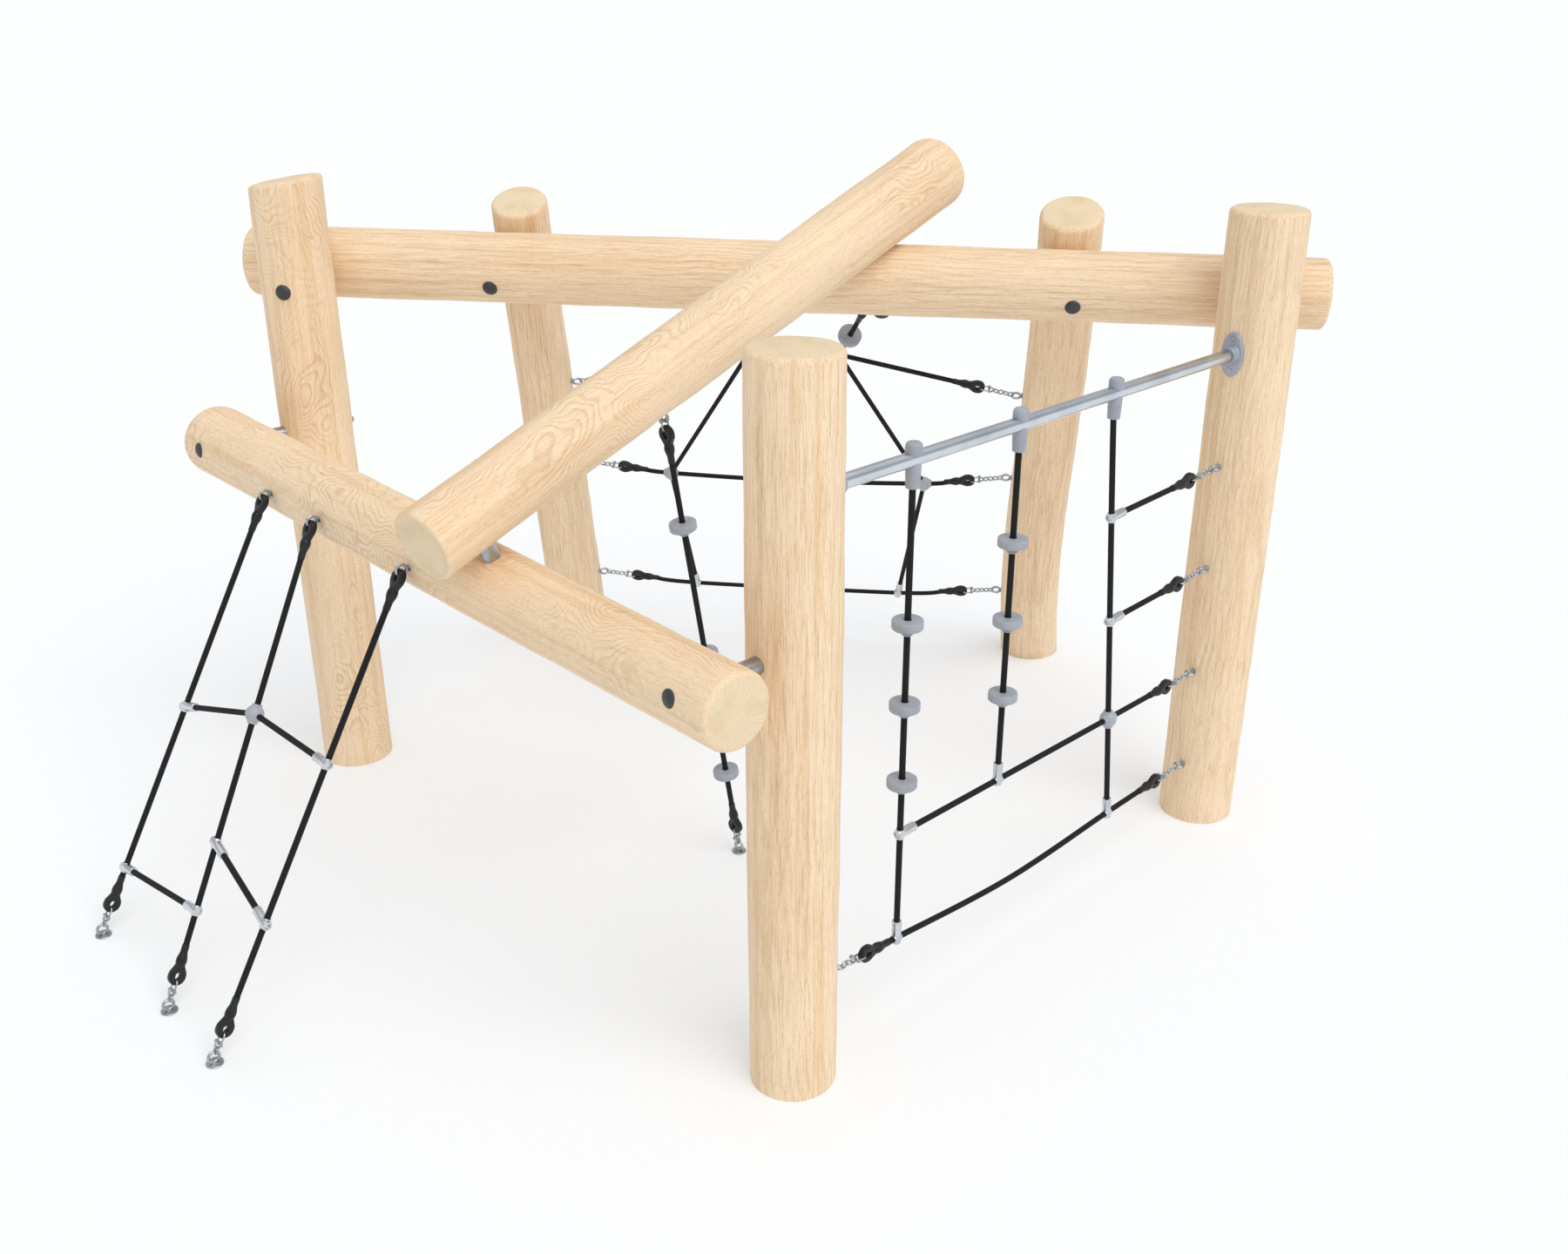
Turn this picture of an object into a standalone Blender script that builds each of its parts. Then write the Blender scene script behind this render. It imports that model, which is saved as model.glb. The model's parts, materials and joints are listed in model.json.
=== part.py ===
"""Climbing cube: five peeled log posts, three log beams, three rope nets and one disc rope.

Metres, +Z up.  The long top beam runs along X.  The origin lies on the ground, in the
middle of the footprint.  Posts and anchors end at ground level.
"""
import bpy
import bmesh
from math import cos, pi, radians, sin
from mathutils import Matrix, Vector

# Driving dimensions: posts, as plan positions of their feet, heights and radii
FRONT_POST_X = 0.3387
FRONT_POST_Y = -1.1898
FRONT_POST_HEIGHT = 1.816
FRONT_FOOT_RADIUS = 0.1055
FRONT_HEAD_RADIUS = 0.1045
FRONT_SWELL = 0.002
LEFT_POST_X = -1.3513
LEFT_POST_Y = 0.2392
LEFT_POST_HEIGHT = 1.917
LEFT_FOOT_RADIUS = 0.1115
LEFT_HEAD_RADIUS = 0.107
RIGHT_POST_X = 1.4647
RIGHT_POST_Y = 0.2422
RIGHT_POST_HEIGHT = 1.885
RIGHT_FOOT_RADIUS = 0.111
RIGHT_HEAD_RADIUS = 0.108
RIGHT_SWELL = 0.003
BACK_POST_HEIGHT = 1.810
BACK_POST_LEAN = radians(24.5)
BACK_LEFT_CROSSING_X = -0.7583
BACK_LEFT_SIDE_LEAN = radians(3.3)
BACK_LEFT_FOOT_RADIUS = 0.112
BACK_LEFT_HEAD_RADIUS = 0.087
BACK_LEFT_BOW = -0.001
BACK_RIGHT_CROSSING_X = 0.9507
BACK_RIGHT_SIDE_LEAN = radians(-0.45)
BACK_RIGHT_FOOT_RADIUS = 0.111
BACK_RIGHT_HEAD_RADIUS = 0.095
BACK_RIGHT_BOW = -0.025
BACK_RIGHT_SWAY = -0.013
BURIED_LENGTH = 0.20

# Driving dimensions: beams
TOP_BEAM_Z_LEFT = 1.630
TOP_BEAM_Z_RIGHT = 1.614
TOP_BEAM_RADIUS_LEFT = 0.108
TOP_BEAM_RADIUS_RIGHT = 0.1025
TOP_BEAM_OVERHANG_LEFT = 0.226
TOP_BEAM_OVERHANG_RIGHT = 0.221
LOW_BEAM_Z_RIGHT = 1.132
LOW_BEAM_Z_LEFT = 1.148
LOW_BEAM_RADIUS_RIGHT = 0.090
LOW_BEAM_RADIUS_LEFT = 0.106
LOW_BEAM_OVERHANG_RIGHT = 0.113
LOW_BEAM_OVERHANG_LEFT = 0.125
LOW_BEAM_SPACER = 0.060
SLOPING_RADIUS_LOW = 0.089
SLOPING_RADIUS_HIGH = 0.107
SLOPING_CROSSING_LOW = 0.760
SLOPING_CROSSING_X = 0.3587
SLOPING_OVERHANG_LOW = 0.150
SLOPING_OVERHANG_HIGH = 0.370
SLOPING_SPACER = 0.028
LOG_SIDES = 16
LOG_RUNS = 4
SADDLE_DEPTH = 0.004
SLOPING_SADDLE_DEPTH = 0.010
END_ROUNDING = 0.014
FLAT_MARGIN = 0.001
SLOPING_END_ROUNDING = 0.034

# Driving dimensions: bolts, caps, spacers
FIT = 0.0003
BOLT_RADIUS = 0.008
BOLT_HEAD_RADIUS = 0.0139
NUT_HEIGHT = 0.013
BOLT_TAIL = 0.005
WASHER_RADIUS = 0.022
WASHER_THICKNESS = 0.003
BOLT_SIDES = 8
CAP_RADIUS = 0.023
CAP_HEIGHT = 0.0165
CAP_RIM_SHARE = 0.4
CAP_SHOULDER_SHARE = 0.88
CAP_CROWN_SHARE = 0.62
SPACER_RADIUS = 0.021
LAG_PAST_AXIS = 0.035
LOW_BOLT_RISES = (0.017, 0.012)
TOP_BOLT_LEFT_DROP = 0.030
BACK_LEFT_BOLT_SHIFT = -0.033
BACK_RIGHT_BOLT_SHIFT = 0.010
SLOPING_BOLT_SHIFT = 0.025

# Driving dimensions: cross pipe and its fittings
PIPE_Z = 1.500
PIPE_RADIUS = 0.018
PIPE_WALL = 0.003
FLANGE_THICKNESS = 0.008
FLANGE_WRAP = 0.0065
FLANGE_HALF_WIDTH = 0.033
FLANGE_HALF_HEIGHT = 0.0625
COLLAR_RADIUS = 0.0245
COLLAR_LENGTH = 0.022
FLANGE_SCREW_RISE = 0.044
SCREW_RADIUS = 0.003
SCREW_HEAD_RADIUS = 0.0065
SCREW_HEAD_HEIGHT = 0.003
SCREW_LENGTH = 0.050
HANGER_CAP_RADIUS = 0.0215
HANGER_CAP_RISE = 0.040
HANGER_CAP_OVERLAP = 0.006
HANGER_NECK_RADIUS = 0.0115
HANGER_NECK_BITE = 0.005
HANGER_CROWN_SHARE = 0.62
HANGER_SHOULDER_SHARE = 0.72
HANGER_ROPE_DEPTH = 0.012
SLEEVE_RADIUS_TOP = 0.0195
SLEEVE_RADIUS_MOUTH = 0.015
SLEEVE_DROP = 0.068
SLEEVE_CLEAR = 0.003

# Driving dimensions: ropes, discs and connectors
ROPE_RADIUS = 0.008
ROPE_SIDES = 8
TEE_RADIUS = 0.0125
TEE_WALL = 0.0045
TEE_NECK = 0.040
TEE_ROPE_DEPTH = 0.0267
BALL_RADIUS = 0.0245
BALL_CORE = 0.0195
DISC_RADIUS = 0.038
DISC_THICKNESS = 0.023
DISC_HUB_RADIUS = 0.017
DISC_PLAY = 0.0006
DISC_CROWN_SHARE = 0.90
DISC_RIM_TOP_SHARE = 0.70
DISC_UNDERSIDE_SHARE = 0.94
DISC_RIM_FOOT_SHARE = 0.36
FERRULE_RADIUS = 0.0135
FERRULE_LENGTH = 0.016

# Driving dimensions: eyes, chain links, shackles and moulded rope ends
EYE_HOLE = 0.020
EYE_WIRE = 0.004
EYE_STANDOFF = 0.020
EYE_SHANK_LENGTH = 0.045
ANCHOR_PLATE_RADIUS = 0.030
ANCHOR_PLATE_THICKNESS = 0.004
LINK_HOLE_WIDTH = 0.010
LINK_HOLE_LENGTH = 0.027
LINK_WIRE = 0.003
SHACKLE_WIDTH = 0.017
SHACKLE_LENGTH = 0.026
SHACKLE_STRAP = 0.005
SHACKLE_DEPTH = 0.010
SHACKLE_PIN_RADIUS = 0.003
SHACKLE_PIN_TAIL = 0.003
SHACKLE_LEG_PAST_PIN = 0.003
RING_BITE = 0.0012
THIMBLE_HOLE_WIDTH = 0.017
THIMBLE_HOLE_LENGTH = 0.022
THIMBLE_RIM = 0.014
THIMBLE_NECK = 0.0145
THIMBLE_MOUTH = 0.012
THIMBLE_LENGTH = 0.095
THIMBLE_DEPTH = 0.018

# Driving dimensions: right net, as distances along the pipe from the front post's axis
UPRIGHT_ONE = 0.372
UPRIGHT_TWO = 0.757
UPRIGHT_THREE = 1.150
UPRIGHT_THREE_LOW = 1.304
NET_LEVEL_SHORT_UPPER = 1.154
NET_LEVEL_SHORT_LOWER = 0.8405
SHORT_ROPE_RISE = 0.018
NET_LEVEL_MID_NEAR = 0.527
NET_LEVEL_MID = 0.522
NET_LEVEL_BOTTOM_FRONT = 0.234
NET_LEVEL_BOTTOM_RIGHT = 0.202
BOTTOM_TEE_ONE_Z = 0.214
BOTTOM_TEE_THREE_Z = 0.193
BOTTOM_ROPE_SAG = 0.026
DISCS_ON_ONE = (1.086, 0.872, 0.662)
DISCS_ON_TWO = (1.187, 0.974, 0.763)
CHAIN_LINKS_POST = 3
CHAIN_LINKS_GROUND = 1

# Driving dimensions: back net, as heights and shares of the span between the back posts
BACK_TOP_ANCHOR_Z = 1.163
BACK_TOP_KNOT_Z = 1.297
BACK_TOP_KNOT_SHARES = (0.415, 0.588)
BACK_MID_ANCHOR_Z = 0.823
BACK_MID_BALL_Z = 0.780
BACK_MID_BALL_SHARES = (0.242, 0.767)
BACK_MID_SAG = 0.010
BACK_LOW_ANCHOR_Z = 0.293
BACK_LOW_TEE_Z = 0.250
BACK_LOW_TEE_SHARES = (0.278, 0.719)
HANGER_EYE_INSET = 0.120
HANGER_DISC_SHARE = 0.47

# Driving dimensions: left net, as distances along the low beam from the front post's bolt
LEFT_NET_REACH = 0.778
LEFT_NET_TOPS = (1.745, 1.470, 1.010)
LEFT_NET_FEET = (1.722, 1.268, 0.991)
UPPER_CROSS = (0.600, 0.690, 0.697)
MIDDLE_CROSS = (0.390, 0.330)
LOWER_CROSS = (0.182, 0.236)

# Driving dimensions: inner disc rope
INNER_ROPE_SHARE = 0.376
INNER_ROPE_FOOT_X = 0.0487
INNER_ROPE_FOOT_Y = -0.2168
INNER_DISCS = (1.094, 0.690, 0.284)

UP = Vector((0.0, 0.0, 1.0))
BORE_LEAD = 0.03
SMOOTH_ANGLE = radians(40)
NEARLY_UPRIGHT = 0.1
WELD = 0.00002

# A polygon's flats lie nearer its centre than its corners, by this share
HEXAGON = cos(pi / 6)
OCTAGON = cos(pi / 8)
TEN_SIDES = cos(pi / 10)
TWELVE_SIDES = cos(pi / 12)
LOG_FLATS = cos(pi / LOG_SIDES)


def start_clean():
    for item in list(bpy.data.objects):
        bpy.data.objects.remove(item, do_unlink=True)
    for group in list(bpy.data.collections):
        bpy.data.collections.remove(group)


def new_collection(name):
    group = bpy.data.collections.new(name)
    bpy.context.scene.collection.children.link(group)
    return group


start_clean()
PARTS = new_collection("climbing_cube")
WORKBENCH = new_collection("cutters")


def material(name, colour, roughness, metallic=0.0):
    made = bpy.data.materials.new(name)
    made.use_nodes = True
    shader = made.node_tree.nodes["Principled BSDF"]
    shader.inputs["Base Color"].default_value = (*colour, 1.0)
    shader.inputs["Roughness"].default_value = roughness
    shader.inputs["Metallic"].default_value = metallic
    return made


ROUND_SHARE = 0.35
ROUND_LOSS = 0.25

PALE_WOOD = (0.80, 0.62, 0.40)
BLACK_ROPE = (0.012, 0.013, 0.013)
GREY_PLASTIC = (0.38, 0.39, 0.44)
GREY_CASTING = (0.36, 0.38, 0.43)
BRIGHT_STEEL = (0.62, 0.64, 0.66)


def basis(origin, pull, side):
    """Placement whose Z runs along pull and whose X lies as near to side as it can."""
    z_axis = pull.normalized()
    x_axis = (side - z_axis * side.dot(z_axis)).normalized()
    y_axis = z_axis.cross(x_axis)
    turn = Matrix((x_axis, y_axis, z_axis)).transposed().to_4x4()
    return Matrix.Translation(origin) @ turn


def heading(start, end):
    return (end - start).normalized()


def any_side(direction):
    """A direction square to the given one, level where that is possible."""
    side = UP.cross(direction)
    if side.length < NEARLY_UPRIGHT:
        side = Vector((1.0, 0.0, 0.0))
    return side.normalized()


def evaluated_mesh(item):
    """The mesh an object shows with its modifiers, with its caps and seams welded."""
    bpy.context.view_layer.update()
    depsgraph = bpy.context.evaluated_depsgraph_get()
    mesh = bpy.data.meshes.new_from_object(item.evaluated_get(depsgraph))
    shape = bmesh.new()
    shape.from_mesh(mesh)
    bmesh.ops.remove_doubles(shape, verts=shape.verts, dist=WELD)
    bmesh.ops.recalc_face_normals(shape, faces=shape.faces)
    shape.to_mesh(mesh)
    shape.free()
    return mesh


def tube_mesh(name, points, radii, sides):
    """A solid round bar along straight runs, with its own radius at each point."""
    curve = bpy.data.curves.new(name, "CURVE")
    curve.dimensions = "3D"
    curve.bevel_depth = 1.0
    curve.bevel_resolution = (sides - 4) // 2
    curve.use_fill_caps = True
    spline = curve.splines.new("POLY")
    spline.points.add(len(points) - 1)
    for point, place, radius in zip(spline.points, points, radii):
        point.co = (*place, 1.0)
        point.radius = radius
    bar = bpy.data.objects.new(name, curve)
    WORKBENCH.objects.link(bar)
    mesh = evaluated_mesh(bar)
    bpy.data.objects.remove(bar, do_unlink=True)
    return mesh


def rod_mesh(name, length, radius, sides, far_radius=None):
    """A cylinder or cone from the origin up along Z."""
    shape = bmesh.new()
    end_radius = radius if far_radius is None else far_radius
    bmesh.ops.create_cone(
        shape, cap_ends=True, segments=sides, radius1=radius, radius2=end_radius,
        depth=length, matrix=Matrix.Translation((0.0, 0.0, length / 2)))
    mesh = bpy.data.meshes.new(name)
    shape.to_mesh(mesh)
    shape.free()
    return mesh


def turned_mesh(name, profile, sides):
    """A profile of (radius, height) points, outer side first from the top, spun about Z."""
    outline = bpy.data.meshes.new(name)
    points = [(radius, 0.0, height) for radius, height in profile]
    closed = all(radius > 0.0 for radius, height in profile)
    count = len(points)
    edges = [(index, (index + 1) % count) for index in range(count if closed else count - 1)]
    outline.from_pydata(points, edges, [])
    blank = bpy.data.objects.new(name, outline)
    WORKBENCH.objects.link(blank)
    spin = blank.modifiers.new("spin", "SCREW")
    spin.steps = sides
    spin.render_steps = sides
    spin.use_merge_vertices = True
    spin.merge_threshold = WELD
    mesh = evaluated_mesh(blank)
    bpy.data.objects.remove(blank, do_unlink=True)
    return mesh


def ring_mesh(name, hole_width, hole_length, wire, wire_sides):
    """A long or round ring of wire in the XZ plane: a six-sided torus drawn apart on Z."""
    wire_inside = wire if wire_sides == 4 else wire / 2
    bpy.ops.mesh.primitive_torus_add(
        major_segments=6, minor_segments=wire_sides, minor_radius=wire,
        major_radius=hole_width / 2 / HEXAGON + wire_inside)
    torus = bpy.context.active_object
    mesh = torus.data.copy()
    bpy.data.objects.remove(torus, do_unlink=True)
    mesh.name = name
    mesh.transform(Matrix.Rotation(pi / 6, 4, "Z"))
    mesh.transform(Matrix.Rotation(pi / 2, 4, "X"))
    stretch = (hole_length - hole_width / HEXAGON) / 2
    for corner in mesh.vertices:
        corner.co.z += stretch if corner.co.z > 0.0 else -stretch
    return mesh


def prism_mesh(name, outlines, depth):
    """Flat outlines in the XZ plane, a later one a hole, given their thickness along Y."""
    curve = bpy.data.curves.new(name, "CURVE")
    curve.dimensions = "2D"
    curve.fill_mode = "BOTH"
    curve.extrude = depth / 2
    for outline in outlines:
        spline = curve.splines.new("POLY")
        spline.points.add(len(outline) - 1)
        for point, (across, along) in zip(spline.points, outline):
            point.co = (across, along, 0.0, 1.0)
        spline.use_cyclic_u = True
    plate = bpy.data.objects.new(name, curve)
    WORKBENCH.objects.link(plate)
    mesh = evaluated_mesh(plate)
    bpy.data.objects.remove(plate, do_unlink=True)
    mesh.transform(Matrix.Rotation(pi / 2, 4, "X"))
    return mesh


def combined(name, mesh, tools, operation):
    """The mesh joined with, or cut by, each tool mesh in turn."""
    blank = bpy.data.objects.new(name, mesh)
    WORKBENCH.objects.link(blank)
    helpers = []
    for tool_mesh in tools:
        tool = bpy.data.objects.new(name + "_tool", tool_mesh)
        tool.hide_render = True
        tool.display_type = "WIRE"
        WORKBENCH.objects.link(tool)
        helpers.append(tool)
        step = blank.modifiers.new(operation.lower(), "BOOLEAN")
        step.operation = operation
        step.solver = "EXACT"
        step.object = tool
    result = evaluated_mesh(blank)
    for item in [blank] + helpers:
        bpy.data.objects.remove(item, do_unlink=True)
    return result


def placed(mesh, matrix):
    copy = mesh.copy()
    copy.transform(matrix)
    return copy


class Piece:
    """One named body: its solids overlap, and a Boolean union joins them."""

    def __init__(self, name, colour, roughness, metallic=0.0):
        self.name = name
        self.finish = material(name, colour, roughness, metallic)
        self.solids = []

    def add(self, mesh, matrix=None):
        self.solids.append(placed(mesh, matrix or Matrix.Identity(4)))

    def run(self, *points):
        """A straight or slightly bent stretch of rope."""
        radii = [ROPE_RADIUS] * len(points)
        self.solids.append(tube_mesh(self.name, points, radii, ROPE_SIDES))

    def build(self, origin=None):
        mesh = combined(self.name, self.solids[0], self.solids[1:], "UNION")
        mesh.materials.clear()
        mesh.materials.append(self.finish)
        mesh.shade_smooth()
        mesh.set_sharp_from_angle(angle=SMOOTH_ANGLE)
        item = bpy.data.objects.new(self.name, mesh)
        if origin is not None:
            mesh.transform(Matrix.Translation(-origin))
            item.location = origin
        PARTS.objects.link(item)
        return item


class Log:
    """A peeled trunk between two axis points, tapered, a little bent, with eased ends."""

    def __init__(self, name, foot, head, foot_radius, head_radius):
        self.name = name
        self.foot = foot
        self.head = head
        self.foot_radius = foot_radius
        self.head_radius = head_radius
        self.swell = 0.0
        self.bow = Vector()
        self.sway = Vector()
        self.foot_rounding = END_ROUNDING
        self.head_rounding = END_ROUNDING
        self.cuts = []

    def direction(self):
        return (self.head - self.foot).normalized()

    def length(self):
        return (self.head - self.foot).length

    def axis(self, share):
        bend = self.bow * sin(pi * share) + self.sway * sin(2 * pi * share)
        return self.foot.lerp(self.head, share) + bend

    def radius(self, share):
        straight = self.foot_radius + (self.head_radius - self.foot_radius) * share
        return straight + self.swell * sin(pi * share)

    def share_at_height(self, height):
        return (height - self.foot.z) / (self.head.z - self.foot.z)

    def share_at_x(self, x):
        return (x - self.foot.x) / (self.head.x - self.foot.x)

    def blank(self, foot_rounding, head_rounding, margin):
        """The log's round mesh, this much larger all over its bark side."""
        shares = [0.0]
        losses = [foot_rounding]
        if foot_rounding:
            shares += [foot_rounding * ROUND_SHARE / self.length(), foot_rounding / self.length()]
            losses += [foot_rounding * ROUND_LOSS, 0.0]
        shares += [(step + 1) / (LOG_RUNS + 1) for step in range(LOG_RUNS)]
        losses += [0.0] * LOG_RUNS
        if head_rounding:
            shares += [1.0 - head_rounding / self.length(),
                       1.0 - head_rounding * ROUND_SHARE / self.length()]
            losses += [0.0, head_rounding * ROUND_LOSS]
        shares.append(1.0)
        losses.append(head_rounding)
        radii = [self.radius(share) + margin - loss for share, loss in zip(shares, losses)]
        return tube_mesh(self.name, [self.axis(share) for share in shares], radii, LOG_SIDES)

    def seat(self, other):
        """Cut a shallow saddle in this log, which the other log then lies in."""
        self.cuts.append(other.blank(0.0, 0.0, FIT / LOG_FLATS))

    def bore(self, start, direction, length, radius, lead=BORE_LEAD):
        """A round hole of at least this radius, from just outside start to length."""
        hole = rod_mesh("bore", length + lead, radius / HEXAGON, 6)
        place = basis(start - direction * lead, direction, any_side(direction))
        self.cuts.append(placed(hole, place))

    def out_towards(self, share, point):
        """The way square out of the log at one place that leads nearest to a point."""
        along = self.direction()
        way = point - self.axis(share)
        return (way - along * way.dot(along)).normalized()

    def flat(self, inside, way, seat_radius):
        """Mill a round flat in the bark for a fitting, square to the way out of the log."""
        share = (inside - self.foot).dot(self.direction()) / self.length()
        off_axis = inside - self.axis(share)
        outward = off_axis.dot(way)
        aside = (off_axis - way * outward).length
        inner_radius = self.radius(share) * LOG_FLATS
        milled = seat_radius + FLAT_MARGIN + aside
        height = (inner_radius ** 2 - milled ** 2) ** 0.5 - FIT - outward
        centre = inside + way * height
        cutter = rod_mesh("flat", BORE_LEAD, (seat_radius + FLAT_MARGIN) / OCTAGON, 8)
        self.cuts.append(placed(cutter, basis(centre, way, any_side(way))))
        return centre

    def build(self):
        mesh = self.blank(self.foot_rounding, self.head_rounding, 0.0)
        if self.foot.z < 0.0:
            mesh = cut_at_ground(mesh)
        wood = Piece(self.name, PALE_WOOD, 0.65)
        wood.add(combined(self.name, mesh, self.cuts, "DIFFERENCE"))
        return wood.build()


def cut_at_ground(mesh):
    """The part of a log above the ground, closed with one flat face."""
    shape = bmesh.new()
    shape.from_mesh(mesh)
    everything = shape.verts[:] + shape.edges[:] + shape.faces[:]
    bmesh.ops.bisect_plane(
        shape, geom=everything, plane_co=(0.0, 0.0, 0.0), plane_no=(0.0, 0.0, 1.0),
        clear_inner=True)
    rim = [edge for edge in shape.edges if edge.is_boundary]
    bmesh.ops.contextual_create(shape, geom=rim)
    bmesh.ops.recalc_face_normals(shape, faces=shape.faces)
    shape.to_mesh(mesh)
    shape.free()
    return mesh


# Posts: three stand upright, two lean against the back of the top beam
front = Log(
    "post_front", Vector((FRONT_POST_X, FRONT_POST_Y, 0.0)),
    Vector((FRONT_POST_X, FRONT_POST_Y, FRONT_POST_HEIGHT)),
    FRONT_FOOT_RADIUS, FRONT_HEAD_RADIUS)
front.swell = FRONT_SWELL
left = Log(
    "post_left", Vector((LEFT_POST_X, LEFT_POST_Y, 0.0)),
    Vector((LEFT_POST_X, LEFT_POST_Y, LEFT_POST_HEIGHT)),
    LEFT_FOOT_RADIUS, LEFT_HEAD_RADIUS)
right = Log(
    "post_right", Vector((RIGHT_POST_X, RIGHT_POST_Y, 0.0)),
    Vector((RIGHT_POST_X, RIGHT_POST_Y, RIGHT_POST_HEIGHT)),
    RIGHT_FOOT_RADIUS, RIGHT_HEAD_RADIUS)
right.swell = RIGHT_SWELL
for post in (front, left, right):
    post.foot_rounding = 0.0


def beam_along(name, post_a, post_b, heights, radii, overhangs, clearance):
    """A beam past two upright posts, on the left of the way from the first to the second."""
    run = (post_b.foot - post_a.foot).length + sum(overhangs)
    across = UP.cross(heading(post_a.foot, post_b.foot))
    marks = []
    for post, height, share in (
            (post_a, heights[0], overhangs[0] / run),
            (post_b, heights[1], 1.0 - overhangs[1] / run)):
        at = post.share_at_height(height)
        beam_radius = radii[0] + (radii[1] - radii[0]) * share
        offset = post.radius(at) + clearance + beam_radius
        marks.append(post.axis(at) + across * offset)
    along = (marks[1] - marks[0]).normalized()
    beam = Log(
        name, marks[0] - along * overhangs[0], marks[1] + along * overhangs[1],
        radii[0], radii[1])
    beam.marks = marks
    beam.across = across
    return beam


top_beam = beam_along(
    "beam_top", left, right, (TOP_BEAM_Z_LEFT, TOP_BEAM_Z_RIGHT),
    (TOP_BEAM_RADIUS_LEFT, TOP_BEAM_RADIUS_RIGHT),
    (TOP_BEAM_OVERHANG_LEFT, TOP_BEAM_OVERHANG_RIGHT), -SADDLE_DEPTH)
low_beam = beam_along(
    "beam_low", front, left, (LOW_BEAM_Z_RIGHT, LOW_BEAM_Z_LEFT),
    (LOW_BEAM_RADIUS_RIGHT, LOW_BEAM_RADIUS_LEFT),
    (LOW_BEAM_OVERHANG_RIGHT, LOW_BEAM_OVERHANG_LEFT), LOW_BEAM_SPACER)


def leaning_post(name, crossing_x, side_lean, foot_radius, head_radius, bow, sway):
    """A post whose head rests on the back of the top beam, square to the bolt there."""
    rise = Vector((sin(side_lean), -sin(BACK_POST_LEAN), cos(BACK_POST_LEAN))).normalized()
    beam_share = top_beam.share_at_x(crossing_x)
    beam_point = top_beam.axis(beam_share)
    square = rise.cross(top_beam.direction()).normalized()
    if square.y < 0.0:
        square = -square
    crossing = beam_point
    for _ in range(4):
        share = crossing.z / BACK_POST_HEIGHT
        post_radius = foot_radius + (head_radius - foot_radius) * share
        reach = top_beam.radius(beam_share) - SADDLE_DEPTH + post_radius
        crossing = beam_point + square * reach
    foot_share = (crossing.z + BURIED_LENGTH) / (BACK_POST_HEIGHT + BURIED_LENGTH)
    bend = Vector((bow, 0.0, 0.0)) * sin(pi * foot_share)
    bend += Vector((sway, 0.0, 0.0)) * sin(2 * pi * foot_share)
    chord = crossing - bend
    foot = chord - rise * ((chord.z + BURIED_LENGTH) / rise.z)
    head = chord + rise * ((BACK_POST_HEIGHT - chord.z) / rise.z)
    post = Log(name, foot, head, foot_radius, head_radius)
    post.bow = Vector((bow, 0.0, 0.0))
    post.sway = Vector((sway, 0.0, 0.0))
    post.foot_rounding = 0.0
    post.beam_point = beam_point
    post.crossing = crossing
    return post


back_left = leaning_post(
    "post_back_left", BACK_LEFT_CROSSING_X, BACK_LEFT_SIDE_LEAN,
    BACK_LEFT_FOOT_RADIUS, BACK_LEFT_HEAD_RADIUS, BACK_LEFT_BOW, 0.0)
back_right = leaning_post(
    "post_back_right", BACK_RIGHT_CROSSING_X, BACK_RIGHT_SIDE_LEAN,
    BACK_RIGHT_FOOT_RADIUS, BACK_RIGHT_HEAD_RADIUS, BACK_RIGHT_BOW, BACK_RIGHT_SWAY)


def sloping_log():
    """The beam that climbs from the low beam, over a spacer, onto the top beam."""
    low_share = (LOW_BEAM_OVERHANG_RIGHT + SLOPING_CROSSING_LOW) / low_beam.length()
    high_share = top_beam.share_at_x(SLOPING_CROSSING_X)
    low_seat = low_beam.axis(low_share)
    high_seat = top_beam.axis(high_share)
    low_point = low_seat + UP * LOW_BEAM_RADIUS_RIGHT
    high_point = high_seat + UP * TOP_BEAM_RADIUS_RIGHT
    for _ in range(8):
        along = (high_point - low_point).normalized()
        run = (high_point - low_point).length + SLOPING_OVERHANG_LOW + SLOPING_OVERHANG_HIGH
        low_normal = low_beam.direction().cross(along).normalized()
        high_normal = top_beam.direction().cross(along).normalized()
        low_normal *= 1.0 if low_normal.z > 0.0 else -1.0
        high_normal *= 1.0 if high_normal.z > 0.0 else -1.0
        growth = (SLOPING_RADIUS_HIGH - SLOPING_RADIUS_LOW) / run
        low_radius = SLOPING_RADIUS_LOW + growth * SLOPING_OVERHANG_LOW
        high_radius = SLOPING_RADIUS_HIGH - growth * SLOPING_OVERHANG_HIGH
        low_gap = low_beam.radius(low_share) + SLOPING_SPACER + low_radius
        high_gap = top_beam.radius(high_share) - SLOPING_SADDLE_DEPTH + high_radius
        low_point = low_seat + low_normal * low_gap
        high_point = high_seat + high_normal * high_gap
    along = (high_point - low_point).normalized()
    log = Log(
        "beam_sloping", low_point - along * SLOPING_OVERHANG_LOW,
        high_point + along * SLOPING_OVERHANG_HIGH, SLOPING_RADIUS_LOW, SLOPING_RADIUS_HIGH)
    log.head_rounding = SLOPING_END_ROUNDING
    log.low_bolt = (low_seat, low_point)
    wall = top_beam.direction().cross(UP).normalized()
    run = (top_beam.foot - log.foot).dot(wall) / along.dot(wall)
    over_beam = log.foot + along * run
    beam_way = top_beam.direction()
    under_log = top_beam.foot + beam_way * (over_beam - top_beam.foot).dot(beam_way)
    log.high_bolt = (under_log, over_beam)
    return log


sloping = sloping_log()
for crossing_log in (left, right, back_left, back_right, sloping):
    top_beam.seat(crossing_log)

# Bolts: each with its cap, washer and nut, and with the spacer tube that it carries


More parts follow.
